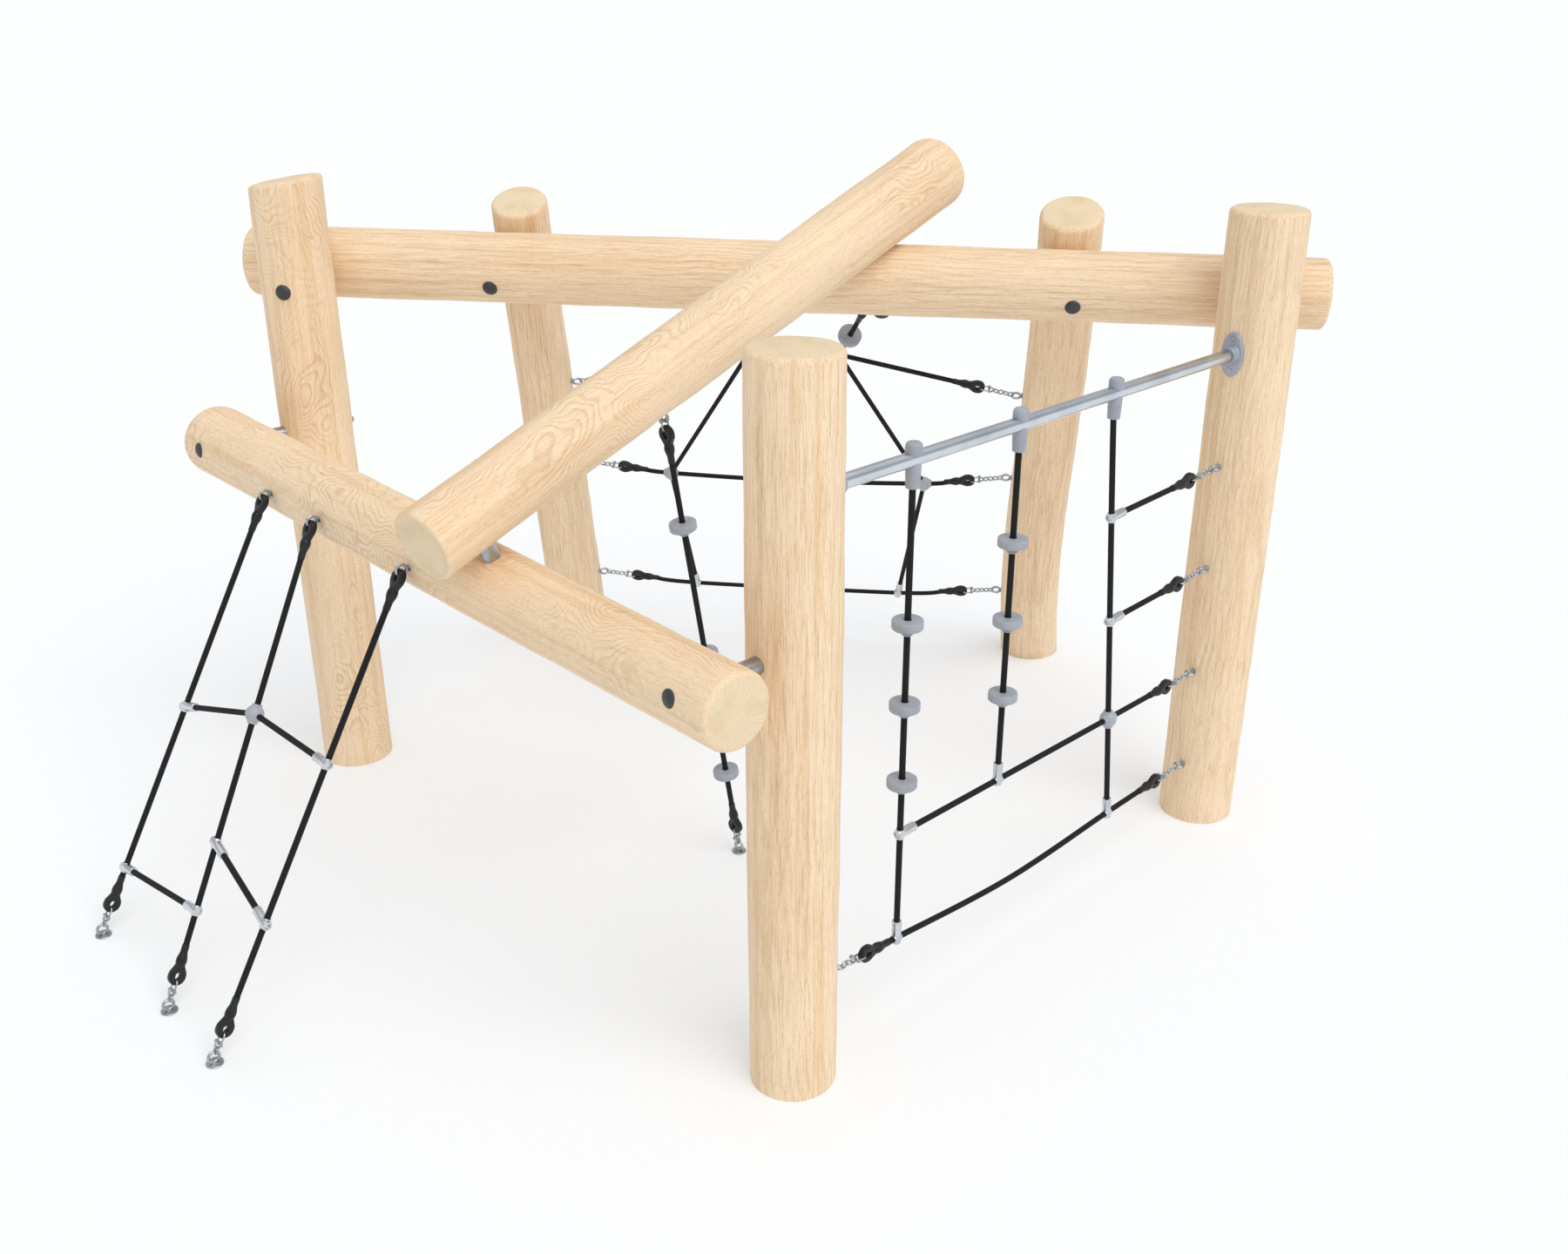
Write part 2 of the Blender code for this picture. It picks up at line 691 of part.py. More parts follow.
def fit_bolt(name, first, last, inside_first, inside_last, nutted, spaced=False):
    """A bolt from its cap on the bark of the first log, into or through the last."""
    way = heading(inside_first, inside_last)
    start = first.flat(inside_first, -way, CAP_RADIUS)
    profile = []
    if nutted:
        far = (last.flat(inside_last, way, WASHER_RADIUS) - start).length + FIT
        nut_top = far + WASHER_THICKNESS + NUT_HEIGHT
        profile += [
            (0.0, nut_top + BOLT_TAIL), (BOLT_RADIUS, nut_top + BOLT_TAIL),
            (BOLT_RADIUS, nut_top), (BOLT_HEAD_RADIUS, nut_top),
            (BOLT_HEAD_RADIUS, far + WASHER_THICKNESS), (WASHER_RADIUS, far + WASHER_THICKNESS),
            (WASHER_RADIUS, far), (BOLT_RADIUS, far)]
    else:
        far = (inside_last - start).length + LAG_PAST_AXIS
        profile += [(0.0, far), (BOLT_RADIUS, far)]
    if spaced:
        near_seat = first.flat(inside_first, way, SPACER_RADIUS)
        far_seat = last.flat(inside_last, -way, SPACER_RADIUS)
        spacer_near = (near_seat - start).length + FIT
        spacer_far = (far_seat - start).length - FIT
        profile += [
            (BOLT_RADIUS, spacer_far), (SPACER_RADIUS, spacer_far),
            (SPACER_RADIUS, spacer_near), (BOLT_RADIUS, spacer_near)]
    profile += [
        (BOLT_RADIUS, -FIT), (CAP_RADIUS, -FIT), (CAP_RADIUS, -CAP_HEIGHT * CAP_RIM_SHARE),
        (CAP_RADIUS * CAP_CROWN_SHARE, -CAP_HEIGHT * CAP_SHOULDER_SHARE), (0.0, -CAP_HEIGHT)]
    bolt = Piece(name, BRIGHT_STEEL, 0.35, 1.0)
    bolt.add(turned_mesh(name, profile, BOLT_SIDES), basis(start, way, any_side(way)))
    bolt.build()
    for log in (first, last):
        log.bore(start, way, far + BOLT_TAIL + NUT_HEIGHT, BOLT_RADIUS + FIT)


for name, post, mark, rise in zip(
        ("bolt_low_beam_front", "bolt_low_beam_left"), (front, left), low_beam.marks,
        LOW_BOLT_RISES):
    in_beam = mark + UP * rise
    in_post = post.axis(post.share_at_height(in_beam.z))
    fit_bolt(name, low_beam, post, in_beam, in_post, True, spaced=True)
left_mark = top_beam.marks[0] - UP * TOP_BOLT_LEFT_DROP
right_mark = top_beam.marks[1]
in_left = left.axis(left.share_at_height(left_mark.z))
in_right = right.axis(right.share_at_height(right_mark.z))
fit_bolt("bolt_top_beam_left", left, top_beam, in_left, left_mark, True)
fit_bolt("bolt_top_beam_right", top_beam, right, right_mark, in_right, False)
for name, post, shift in (
        ("bolt_back_post_left", back_left, BACK_LEFT_BOLT_SHIFT),
        ("bolt_back_post_right", back_right, BACK_RIGHT_BOLT_SHIFT)):
    aside = top_beam.direction() * shift
    fit_bolt(name, top_beam, post, post.beam_point + aside, post.crossing + aside, True)
aside = low_beam.direction() * -SLOPING_BOLT_SHIFT
in_low, in_sloping = (point + aside for point in sloping.low_bolt)
fit_bolt("bolt_sloping_low", low_beam, sloping, in_low, in_sloping, False, spaced=True)
fit_bolt("bolt_sloping_top", top_beam, sloping, *sloping.high_bolt, False)

# Fittings that tie the ropes to the logs and to the ground


def eye_mesh(name, foot_profile):
    """A wire ring on a turned stem; the stem's foot rests at the origin."""
    ring = placed(
        ring_mesh(name, EYE_HOLE, EYE_HOLE, EYE_WIRE, 4), Matrix.Translation((0, 0, EYE_STANDOFF)))
    neck_top = EYE_STANDOFF - EYE_HOLE / 2 - EYE_WIRE
    stem = turned_mesh(name + "_stem", ((0.0, neck_top), (EYE_WIRE, neck_top)) + foot_profile, 6)
    return combined(name, ring, [stem], "UNION")


screw_eye = eye_mesh("screw_eye", (
    (EYE_WIRE, -EYE_SHANK_LENGTH), (0.0, -EYE_SHANK_LENGTH)))
anchor_eye = eye_mesh("anchor_eye", (
    (EYE_WIRE, ANCHOR_PLATE_THICKNESS), (ANCHOR_PLATE_RADIUS, ANCHOR_PLATE_THICKNESS),
    (ANCHOR_PLATE_RADIUS, 0.0), (0.0, 0.0)))
link_mesh = ring_mesh("link", LINK_HOLE_WIDTH, LINK_HOLE_LENGTH, LINK_WIRE, 3)


def thimble_outlines():
    """A moulded rope end seen face on: round the hole, then tapering along the rope."""
    hole = THIMBLE_HOLE_WIDTH / 2
    rim = hole + THIMBLE_RIM
    shoulder = THIMBLE_HOLE_LENGTH / 2 - hole
    turns = [pi * (1 + step / 4) for step in range(5)]
    round_end = [(cos(turn) * rim, sin(turn) * rim - shoulder) for turn in turns]
    neck_at = THIMBLE_HOLE_LENGTH / 2 + THIMBLE_RIM
    mouth_at = THIMBLE_LENGTH - THIMBLE_HOLE_LENGTH / 2
    neck = [(rim, shoulder), (THIMBLE_NECK, neck_at), (THIMBLE_MOUTH, mouth_at)]
    tip = THIMBLE_HOLE_LENGTH / 2
    eye = [(0.0, -tip), (hole, -shoulder), (hole, shoulder), (0.0, tip)]
    return (round_end + neck + [(-x, z) for x, z in reversed(neck)],
            eye + [(-x, z) for x, z in reversed(eye[1:3])])


thimble_mesh = prism_mesh("thimble", thimble_outlines(), THIMBLE_DEPTH)


def shackle_outline():
    """A strap bent round a half circle, with two straight legs down past the pin."""
    centre = (SHACKLE_LENGTH - SHACKLE_WIDTH) / 2
    leg_end = SHACKLE_PIN_AT - SHACKLE_PIN_RADIUS - SHACKLE_LEG_PAST_PIN
    turns = [pi * step / 3 for step in range(4)]
    inner = SHACKLE_WIDTH / 2
    outer = inner + SHACKLE_STRAP
    inside = [(cos(turn) * inner, centre + sin(turn) * inner) for turn in turns]
    outside = [(cos(turn) * outer, centre + sin(turn) * outer) for turn in reversed(turns)]
    return ([(inner, leg_end)] + inside + [(-inner, leg_end), (-outer, leg_end)] + outside
            + [(outer, leg_end)])


SHACKLE_PIN_AT = -SHACKLE_LENGTH / 2 - SHACKLE_PIN_RADIUS
pin_reach = SHACKLE_WIDTH / 2 + SHACKLE_STRAP + SHACKLE_PIN_TAIL
pin_mesh = placed(
    rod_mesh("pin", 2 * pin_reach, SHACKLE_PIN_RADIUS, 6),
    Matrix.Translation((-pin_reach, 0.0, SHACKLE_PIN_AT)) @ Matrix.Rotation(pi / 2, 4, "Y"))
shackle_mesh = combined(
    "shackle", prism_mesh("shackle", [shackle_outline()], SHACKLE_DEPTH), [pin_mesh], "UNION")


def fasten(piece, eye, start, outward, toward, first_side, chain_count, shackled):
    """Give a rope an eye, then chain, shackle and moulded end, pulled towards a point.

    Each ring lies square to the one before and bears on its wire.  The place where the rope
    itself begins, inside its moulded end, is returned.
    """
    piece.add(eye, basis(start, outward, first_side))
    centre = start + outward * EYE_STANDOFF
    pull = heading(centre, toward)
    side = outward.cross(first_side)
    reach = EYE_HOLE / 2 + RING_BITE
    for _ in range(chain_count):
        centre = centre + pull * (reach + LINK_HOLE_LENGTH / 2)
        piece.add(link_mesh, basis(centre, pull, side))
        reach = LINK_HOLE_LENGTH / 2 + RING_BITE
        side = pull.cross(side)
    if shackled:
        centre = centre + pull * (reach + SHACKLE_LENGTH / 2)
        piece.add(shackle_mesh, basis(centre, pull, side))
        reach = SHACKLE_LENGTH / 2 + RING_BITE
        side = pull.cross(side)
    centre = centre + pull * (reach + THIMBLE_HOLE_LENGTH / 2)
    piece.add(thimble_mesh, basis(centre, pull, side))
    return centre + pull * (THIMBLE_HOLE_LENGTH / 2 + THIMBLE_LENGTH / 2)


def fasten_to_log(piece, log, share, facing, aim, plane_side, chain_count, shackled):
    """Screw an eye into the side of a log that faces a point, and rig it towards aim."""
    outward = log.out_towards(share, facing)
    start = log.axis(share) + outward * log.radius(share)
    log.bore(start, -outward, EYE_SHANK_LENGTH + FIT, EYE_WIRE / HEXAGON + FIT)
    first_side = (plane_side - outward * plane_side.dot(outward)).normalized()
    return fasten(piece, screw_eye, start, outward, aim, first_side, chain_count, shackled)


def fasten_to_ground(piece, start, aim, first_side):
    return fasten(piece, anchor_eye, start, UP, aim, first_side, CHAIN_LINKS_GROUND, True)


def rope_piece(name):
    return Piece(name, BLACK_ROPE, 0.8)


def add_tee(piece, before, tie, after, branch):
    """A sleeve on this rope's end, closed round the rope that it ties to.

    The rope it ties to runs from before, through tie, to after.  The place where this
    rope ends, inside the sleeve, is returned.
    """
    way_in = heading(before, tie)
    way_out = heading(tie, after)
    lean = way_in.angle(branch)
    hole_radius = (ROPE_RADIUS + FIT) / OCTAGON
    clear = hole_radius / sin(lean) + TEE_RADIUS * abs(cos(lean)) / sin(lean) + TEE_WALL
    body = placed(
        rod_mesh("tee", 2 * clear + TEE_NECK, TEE_RADIUS, 8),
        basis(tie - branch * clear, branch, any_side(branch)))
    reach = 3 * clear
    hole = tube_mesh(
        "hole", [tie - way_in * reach, tie, tie + way_out * reach], [hole_radius] * 3, 8)
    piece.add(combined("tee", body, [hole], "DIFFERENCE"))
    return tie + branch * (clear + TEE_NECK - TEE_ROPE_DEPTH)


def add_ball(piece, centre, ropes):
    """A round connector with a socket for each rope that comes to it from another piece."""
    shape = bmesh.new()
    bmesh.ops.create_uvsphere(shape, u_segments=8, v_segments=6, radius=BALL_RADIUS)
    mesh = bpy.data.meshes.new("ball")
    shape.to_mesh(mesh)
    shape.free()
    sockets = []
    for toward in ropes:
        way = heading(centre, toward)
        hole = rod_mesh("socket", BALL_RADIUS, (ROPE_RADIUS + FIT) / OCTAGON, 8)
        sockets.append(placed(hole, basis(way * (BALL_CORE - FIT), way, any_side(way))))
    piece.add(combined("ball", mesh, sockets, "DIFFERENCE"), Matrix.Translation(centre))


def at_ball(centre, toward):
    """Where a rope that comes to a ball from another piece ends, in its socket."""
    return centre + heading(centre, toward) * BALL_CORE


# Discs: each turns freely on its rope and rests on a ferrule crimped below it
disc_bore = (ROPE_RADIUS + DISC_PLAY) / TEN_SIDES
disc_mesh = turned_mesh("disc", (
    (DISC_RADIUS * DISC_CROWN_SHARE, DISC_THICKNESS),
    (DISC_RADIUS, DISC_THICKNESS * DISC_RIM_TOP_SHARE),
    (DISC_RADIUS * DISC_UNDERSIDE_SHARE, DISC_THICKNESS * DISC_RIM_FOOT_SHARE),
    (DISC_HUB_RADIUS, 0.0),
    (disc_bore, 0.0), (disc_bore, DISC_THICKNESS)), 10)
disc_count = 0


def add_disc(rope, seat, rope_up):
    global disc_count
    disc_count += 1
    disc = Piece("climbing_disc_%02d" % disc_count, GREY_PLASTIC, 0.5)
    disc.add(disc_mesh, basis(seat, rope_up, any_side(rope_up)))
    disc.build(origin=seat)
    ferrule = rod_mesh("ferrule", FERRULE_LENGTH, FERRULE_RADIUS, 8)
    foot = seat - rope_up * (FERRULE_LENGTH + FIT)
    rope.add(ferrule, basis(foot, rope_up, any_side(rope_up)))


# Cross pipe between the front and right posts, with a flange at each end
front_at_pipe = front.axis(front.share_at_height(PIPE_Z))
right_at_pipe = right.axis(right.share_at_height(PIPE_Z))
pipe_way = heading(front_at_pipe, right_at_pipe)
pipe_side = UP.cross(pipe_way)
face_front = front_at_pipe + pipe_way * front.radius(front.share_at_height(PIPE_Z))
face_right = right_at_pipe - pipe_way * right.radius(right.share_at_height(PIPE_Z))
pipe_start = face_front + pipe_way * (FLANGE_THICKNESS + 2 * FIT)
pipe_length = (face_right - face_front).length - 2 * (FLANGE_THICKNESS + 2 * FIT)


def on_pipe(distance, height):
    """A point in the right net's plane: distance from the front post's axis, and height."""
    return Vector((
        front.foot.x + pipe_way.x * distance, front.foot.y + pipe_way.y * distance, height))


plate = rod_mesh("plate", FLANGE_THICKNESS + FLANGE_WRAP, 1.0, 16)
plate.transform(Matrix.Diagonal((FLANGE_HALF_WIDTH, FLANGE_HALF_HEIGHT, 1.0, 1.0)))
plate.transform(Matrix.Translation((0.0, 0.0, -FLANGE_WRAP)))
collar = rod_mesh("collar", FLANGE_THICKNESS / 2 + COLLAR_LENGTH, COLLAR_RADIUS, 12)
collar.transform(Matrix.Translation((0.0, 0.0, FLANGE_THICKNESS / 2)))
pipe_socket = rod_mesh("pipe_socket", 2 * COLLAR_LENGTH, (PIPE_RADIUS + FIT) / TWELVE_SIDES, 12)
pipe_socket.transform(Matrix.Translation((0.0, 0.0, FLANGE_THICKNESS)))
screw = turned_mesh("screw", (
    (0.0, SCREW_HEAD_HEIGHT), (SCREW_HEAD_RADIUS, SCREW_HEAD_HEIGHT),
    (SCREW_HEAD_RADIUS, -FLANGE_THICKNESS / 2), (SCREW_RADIUS, -FLANGE_THICKNESS / 2),
    (SCREW_RADIUS, -SCREW_LENGTH), (0.0, -SCREW_LENGTH)), 6)
flange_mesh = combined("flange", plate, [collar], "UNION")
flange_mesh = combined("flange", flange_mesh, [pipe_socket], "DIFFERENCE")
for name, post, face, way in (
        ("pipe_flange_front", front, face_front, pipe_way),
        ("pipe_flange_right", right, face_right, -pipe_way)):
    flange = Piece(name, GREY_CASTING, 0.45, 0.6)
    flange_place = basis(face, way, UP.cross(way))
    hollow = [post.blank(0.0, 0.0, FIT / LOG_FLATS)]
    flange.add(combined(name, placed(flange_mesh, flange_place), hollow, "DIFFERENCE"))
    for rise in (FLANGE_SCREW_RISE, -FLANGE_SCREW_RISE):
        flange.add(screw, flange_place @ Matrix.Translation((0.0, rise, FLANGE_THICKNESS)))
        post.bore(face + UP * rise, -way, SCREW_LENGTH, SCREW_RADIUS / HEXAGON + FIT)
    flange.build()

# Rope hangers: a cap over the pipe and a sleeve under it, joined through the pipe's hole
saddle = placed(
    rod_mesh("saddle", 4 * HANGER_CAP_RADIUS, (PIPE_RADIUS + FIT) / TWELVE_SIDES, 12),
    basis(pipe_way * -2 * HANGER_CAP_RADIUS, pipe_way, pipe_side))
hanger_mesh = turned_mesh("hanger", (
    (0.0, HANGER_CAP_RISE), (HANGER_CAP_RADIUS * HANGER_CROWN_SHARE, HANGER_CAP_RISE),
    (HANGER_CAP_RADIUS, HANGER_CAP_RISE * HANGER_SHOULDER_SHARE), (HANGER_CAP_RADIUS, 0.0),
    (SLEEVE_RADIUS_TOP, -HANGER_CAP_OVERLAP), (SLEEVE_RADIUS_MOUTH, -SLEEVE_DROP),
    (0.0, -SLEEVE_DROP)), 10)
neck_reach = PIPE_RADIUS + HANGER_NECK_BITE
neck = rod_mesh("neck", 2 * neck_reach, HANGER_NECK_RADIUS, 8)
neck.transform(Matrix.Translation((0.0, 0.0, -neck_reach)))
rope_bore_top = PIPE_RADIUS + HANGER_ROPE_DEPTH
rope_bore = rod_mesh(
    "rope_bore", SLEEVE_DROP + BORE_LEAD + rope_bore_top, (ROPE_RADIUS + FIT) / OCTAGON, 8)
rope_bore.transform(Matrix.Translation((0.0, 0.0, -SLEEVE_DROP - BORE_LEAD)))
hanger_mesh = combined("hanger", hanger_mesh, [saddle], "DIFFERENCE")
hanger_mesh = combined("hanger", hanger_mesh, [neck], "UNION")
hanger_mesh = combined("hanger", hanger_mesh, [rope_bore], "DIFFERENCE")
pipe_holes = []
for number, distance in enumerate((UPRIGHT_ONE, UPRIGHT_TWO, UPRIGHT_THREE), 1):
    seat = on_pipe(distance, PIPE_Z)
    hanger = Piece("rope_hanger_%d" % number, GREY_PLASTIC, 0.5)
    hanger.add(hanger_mesh, Matrix.Translation(seat))
    hanger.build()
    hole = rod_mesh("hole", 4 * PIPE_RADIUS, (HANGER_NECK_RADIUS + FIT) / OCTAGON, 8)
    pipe_holes.append(placed(hole, Matrix.Translation(seat - UP * 2 * PIPE_RADIUS)))
pipe_mesh = turned_mesh("pipe", (
    (PIPE_RADIUS, pipe_length), (PIPE_RADIUS, 0.0), (PIPE_RADIUS - PIPE_WALL, 0.0),
    (PIPE_RADIUS - PIPE_WALL, pipe_length)), 12)
pipe_mesh = placed(pipe_mesh, basis(pipe_start, pipe_way, UP))
pipe = Piece("cross_pipe", BRIGHT_STEEL, 0.25, 1.0)
pipe.add(combined("pipe", pipe_mesh, pipe_holes, "DIFFERENCE"))
pipe.build()

# Right net: three uprights from the pipe, tied by a mid, a bottom and two short ropes
net_normal = pipe_way.cross(UP)
rope_top = PIPE_Z + rope_bore_top - FIT
right_uprights = [rope_piece("right_net_upright_%d" % number) for number in (1, 2, 3)]
mid_near = rope_piece("right_net_mid_near")
mid_far = rope_piece("right_net_mid_far")
bottom_rope = rope_piece("right_net_bottom")
short_ropes = [rope_piece("right_net_short_upper"), rope_piece("right_net_short_lower")]


def fasten_to_post(piece, post, height, toward, plane_side):
    share = post.share_at_height(height)
    return fasten_to_log(
        piece, post, share, toward, toward, plane_side, CHAIN_LINKS_POST, True)


one_foot = on_pipe(UPRIGHT_ONE, BOTTOM_TEE_ONE_Z)
three_foot = on_pipe(UPRIGHT_THREE_LOW, BOTTOM_TEE_THREE_Z)
bottom_middle = one_foot.lerp(three_foot, 0.5) - UP * BOTTOM_ROPE_SAG
bottom_start = fasten_to_post(
    bottom_rope, front, NET_LEVEL_BOTTOM_FRONT, one_foot, net_normal)
bottom_end = fasten_to_post(
    bottom_rope, right, NET_LEVEL_BOTTOM_RIGHT, three_foot, net_normal)
bottom_rope.run(bottom_start, one_foot, bottom_middle, three_foot, bottom_end)

one_top = on_pipe(UPRIGHT_ONE, rope_top)
one_mid = on_pipe(UPRIGHT_ONE, NET_LEVEL_MID_NEAR)
three_mouth = on_pipe(UPRIGHT_THREE, PIPE_Z - SLEEVE_DROP - SLEEVE_CLEAR)
knot = three_mouth.lerp(
    three_foot, (three_mouth.z - NET_LEVEL_MID) / (three_mouth.z - three_foot.z))
knot_distance = (knot - front.foot).xy.length
two_mid = one_mid.lerp(knot, (UPRIGHT_TWO - UPRIGHT_ONE) / (knot_distance - UPRIGHT_ONE))

right_uprights[0].run(
    one_top, add_tee(right_uprights[0], bottom_start, one_foot, bottom_middle, UP))
for height in DISCS_ON_ONE:
    add_disc(right_uprights[0], on_pipe(UPRIGHT_ONE, height), UP)
right_uprights[1].run(
    on_pipe(UPRIGHT_TWO, rope_top), add_tee(right_uprights[1], one_mid, two_mid, knot, UP))
for height in DISCS_ON_TWO:
    add_disc(right_uprights[1], on_pipe(UPRIGHT_TWO, height), UP)
foot_end = add_tee(
    right_uprights[2], bottom_middle, three_foot, bottom_end, heading(three_foot, knot))
right_uprights[2].run(on_pipe(UPRIGHT_THREE, rope_top), three_mouth, foot_end)
mid_end = fasten_to_post(mid_far, right, NET_LEVEL_MID, knot, net_normal)
add_ball(right_uprights[2], knot, [one_mid, mid_end])
mid_near.run(
    at_ball(knot, one_mid), add_tee(mid_near, one_top, one_mid, one_foot, heading(one_mid, knot)))
mid_far.run(at_ball(knot, mid_end), mid_end)

for piece, height in zip(short_ropes, (NET_LEVEL_SHORT_UPPER, NET_LEVEL_SHORT_LOWER)):
    tie = three_mouth.lerp(knot, (three_mouth.z - height) / (three_mouth.z - knot.z))
    far_end = fasten_to_post(piece, right, height + SHORT_ROPE_RISE, tie, net_normal)
    tee_end = add_tee(piece, three_mouth, tie, knot, heading(tie, far_end))
    piece.run(tee_end, far_end)

# Back net: three level ropes between the leaning posts, two side ropes and two hangers
back_normal = top_beam.direction().cross(back_right.direction())


def in_back_net(share, height):
    at_left = back_left.axis(back_left.share_at_height(height))
    at_right = back_right.axis(back_right.share_at_height(height))
    return at_left.lerp(at_right, share)


top_knots = [in_back_net(share, BACK_TOP_KNOT_Z) for share in BACK_TOP_KNOT_SHARES]
mid_knots = [in_back_net(share, BACK_MID_BALL_Z) for share in BACK_MID_BALL_SHARES]
low_ties = [in_back_net(share, BACK_LOW_TEE_Z) for share in BACK_LOW_TEE_SHARES]
back_posts = (back_left, back_right)

back_low = rope_piece("back_net_low")
low_ends = [
    fasten_to_post(back_low, post, BACK_LOW_ANCHOR_Z, tie, back_normal)
    for post, tie in zip(back_posts, low_ties)]
back_low.run(low_ends[0], *low_ties, low_ends[1])

back_mid = rope_piece("back_net_mid")
mid_ends = [
    fasten_to_post(back_mid, post, BACK_MID_ANCHOR_Z, ball, back_normal)
    for post, ball in zip(back_posts, mid_knots)]
mid_low = mid_knots[0].lerp(mid_knots[1], 0.5) - UP * BACK_MID_SAG
back_mid.run(mid_ends[0], mid_knots[0], mid_low, mid_knots[1], mid_ends[1])
for ball, top_knot, tie in zip(mid_knots, top_knots, low_ties):
    add_ball(back_mid, ball, [top_knot, tie])

back_top_middle = rope_piece("back_net_top_middle")
back_top_middle.run(at_ball(*top_knots), at_ball(*reversed(top_knots)))
back_top_middle.build()

for index, hand in enumerate(("left", "right")):
    post = back_posts[index]
    top_knot = top_knots[index]
    other_knot = top_knots[1 - index]
    mid_knot = mid_knots[index]
    tie = low_ties[index]
    back_top = rope_piece("back_net_top_" + hand)
    top_end = fasten_to_post(back_top, post, BACK_TOP_ANCHOR_Z, top_knot, back_normal)
    back_top.run(at_ball(top_knot, top_end), top_end)
    back_top.build()
    side_upper = rope_piece("back_net_side_upper_" + hand)
    side_upper.run(at_ball(mid_knot, top_knot), at_ball(top_knot, mid_knot))
    side_upper.build()
    side_lower = rope_piece("back_net_side_lower_" + hand)
    side_end = add_tee(
        side_lower, low_ends[index], tie, low_ties[1 - index], heading(tie, mid_knot))
    side_lower.run(at_ball(mid_knot, tie), side_end)
    side_lower.build()
    hanger = rope_piece("back_net_hanger_" + hand)
    eye_x = top_knot.x + (2 * index - 1) * HANGER_EYE_INSET
    hanger_end = fasten_to_log(
        hanger, top_beam, top_beam.share_at_x(eye_x), top_knot, top_knot,
        top_beam.direction(), 0, True)
    hanger.run(top_knot, hanger_end)
    add_ball(hanger, top_knot, [top_end, other_knot, mid_knot])
    add_disc(
        hanger, top_knot.lerp(hanger_end, HANGER_DISC_SHARE), heading(top_knot, hanger_end))
    hanger.build()

# Left net: three long ropes from the low beam to the ground, tied by four cross ropes
long_ropes = [rope_piece("left_net_long_%d" % number) for number in (1, 2, 3)]
beam_way = low_beam.direction()
long_runs = []
for piece, top_run, foot_run in zip(long_ropes, LEFT_NET_TOPS, LEFT_NET_FEET):
    hook_share = (LOW_BEAM_OVERHANG_RIGHT + top_run) / low_beam.length()
    hook_axis = low_beam.axis(hook_share)
    hook_ring = hook_axis + low_beam.across * (low_beam.radius(hook_share) + EYE_STANDOFF)
    ground_point = low_beam.marks[0] + beam_way * foot_run + low_beam.across * LEFT_NET_REACH
    ground_point.z = 0.0
    top_end = fasten_to_log(
        piece, low_beam, hook_share, hook_ring, ground_point + UP * EYE_STANDOFF, UP, 0, False)
    foot_end = fasten_to_ground(piece, ground_point, hook_ring, low_beam.across)
    long_runs.append((top_end, foot_end))


def on_long_rope(number, height):
    top_end, foot_end = long_runs[number]
    return top_end.lerp(foot_end, (top_end.z - height) / (top_end.z - foot_end.z))


def tie_to_long_rope(piece, number, height, toward):
    """A tee of this piece round a long rope, at a height; the rope's end in it."""
    top_end, foot_end = long_runs[number]
    tie = on_long_rope(number, height)
    return add_tee(piece, top_end, tie, foot_end, heading(tie, toward))


left_knot = on_long_rope(1, UPPER_CROSS[1])
upper_ties = [on_long_rope(0, UPPER_CROSS[0]), on_long_rope(2, UPPER_CROSS[2])]
add_ball(long_ropes[1], left_knot, upper_ties)
for name, number, height in (
        ("left_net_cross_upper_left", 0, UPPER_CROSS[0]),
        ("left_net_cross_upper_right", 2, UPPER_CROSS[2])):
    piece = rope_piece(name)
    end = tie_to_long_rope(piece, number, height, left_knot)
    piece.run(at_ball(left_knot, end), end)
    piece.build()
for name, first, last, heights in (
        ("left_net_cross_middle", 1, 2, MIDDLE_CROSS),
        ("left_net_cross_lower", 0, 1, LOWER_CROSS)):
    piece = rope_piece(name)
    first_end = tie_to_long_rope(piece, first, heights[0], on_long_rope(last, heights[1]))
    last_end = tie_to_long_rope(piece, last, heights[1], on_long_rope(first, heights[0]))
    piece.run(first_end, last_end)
    piece.build()
for piece, run in zip(long_ropes, long_runs):
    piece.run(*run)

# Inner rope: from an eye under the sloping beam to an anchor in the ground
inner_rope = rope_piece("inner_disc_rope")
inner_foot = Vector((INNER_ROPE_FOOT_X, INNER_ROPE_FOOT_Y, 0.0))
inner_axis = sloping.axis(INNER_ROPE_SHARE)
inner_side = sloping.direction().cross(UP).normalized()
inner_top = fasten_to_log(
    inner_rope, sloping, INNER_ROPE_SHARE, inner_axis - UP, inner_foot + UP * EYE_STANDOFF,
    inner_side, 0, True)
inner_bottom = fasten_to_ground(inner_rope, inner_foot, inner_top, inner_side)
inner_rope.run(inner_top, inner_bottom)
for height in INNER_DISCS:
    share = (height - inner_bottom.z) / (inner_top.z - inner_bottom.z)
    add_disc(
        inner_rope, inner_bottom.lerp(inner_top, share), heading(inner_bottom, inner_top))

# The other ropes have all their fittings now, and the logs all their saddles and bores
for piece in (
        *right_uprights, mid_near, mid_far, bottom_rope, *short_ropes, back_low, back_mid,
        *long_ropes, inner_rope):
    piece.build()
for log in (front, left, right, back_left, back_right, top_beam, low_beam, sloping):
    log.build()
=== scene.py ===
import json
from math import cos, pi, radians, sin

import bpy
from mathutils import Matrix, Vector


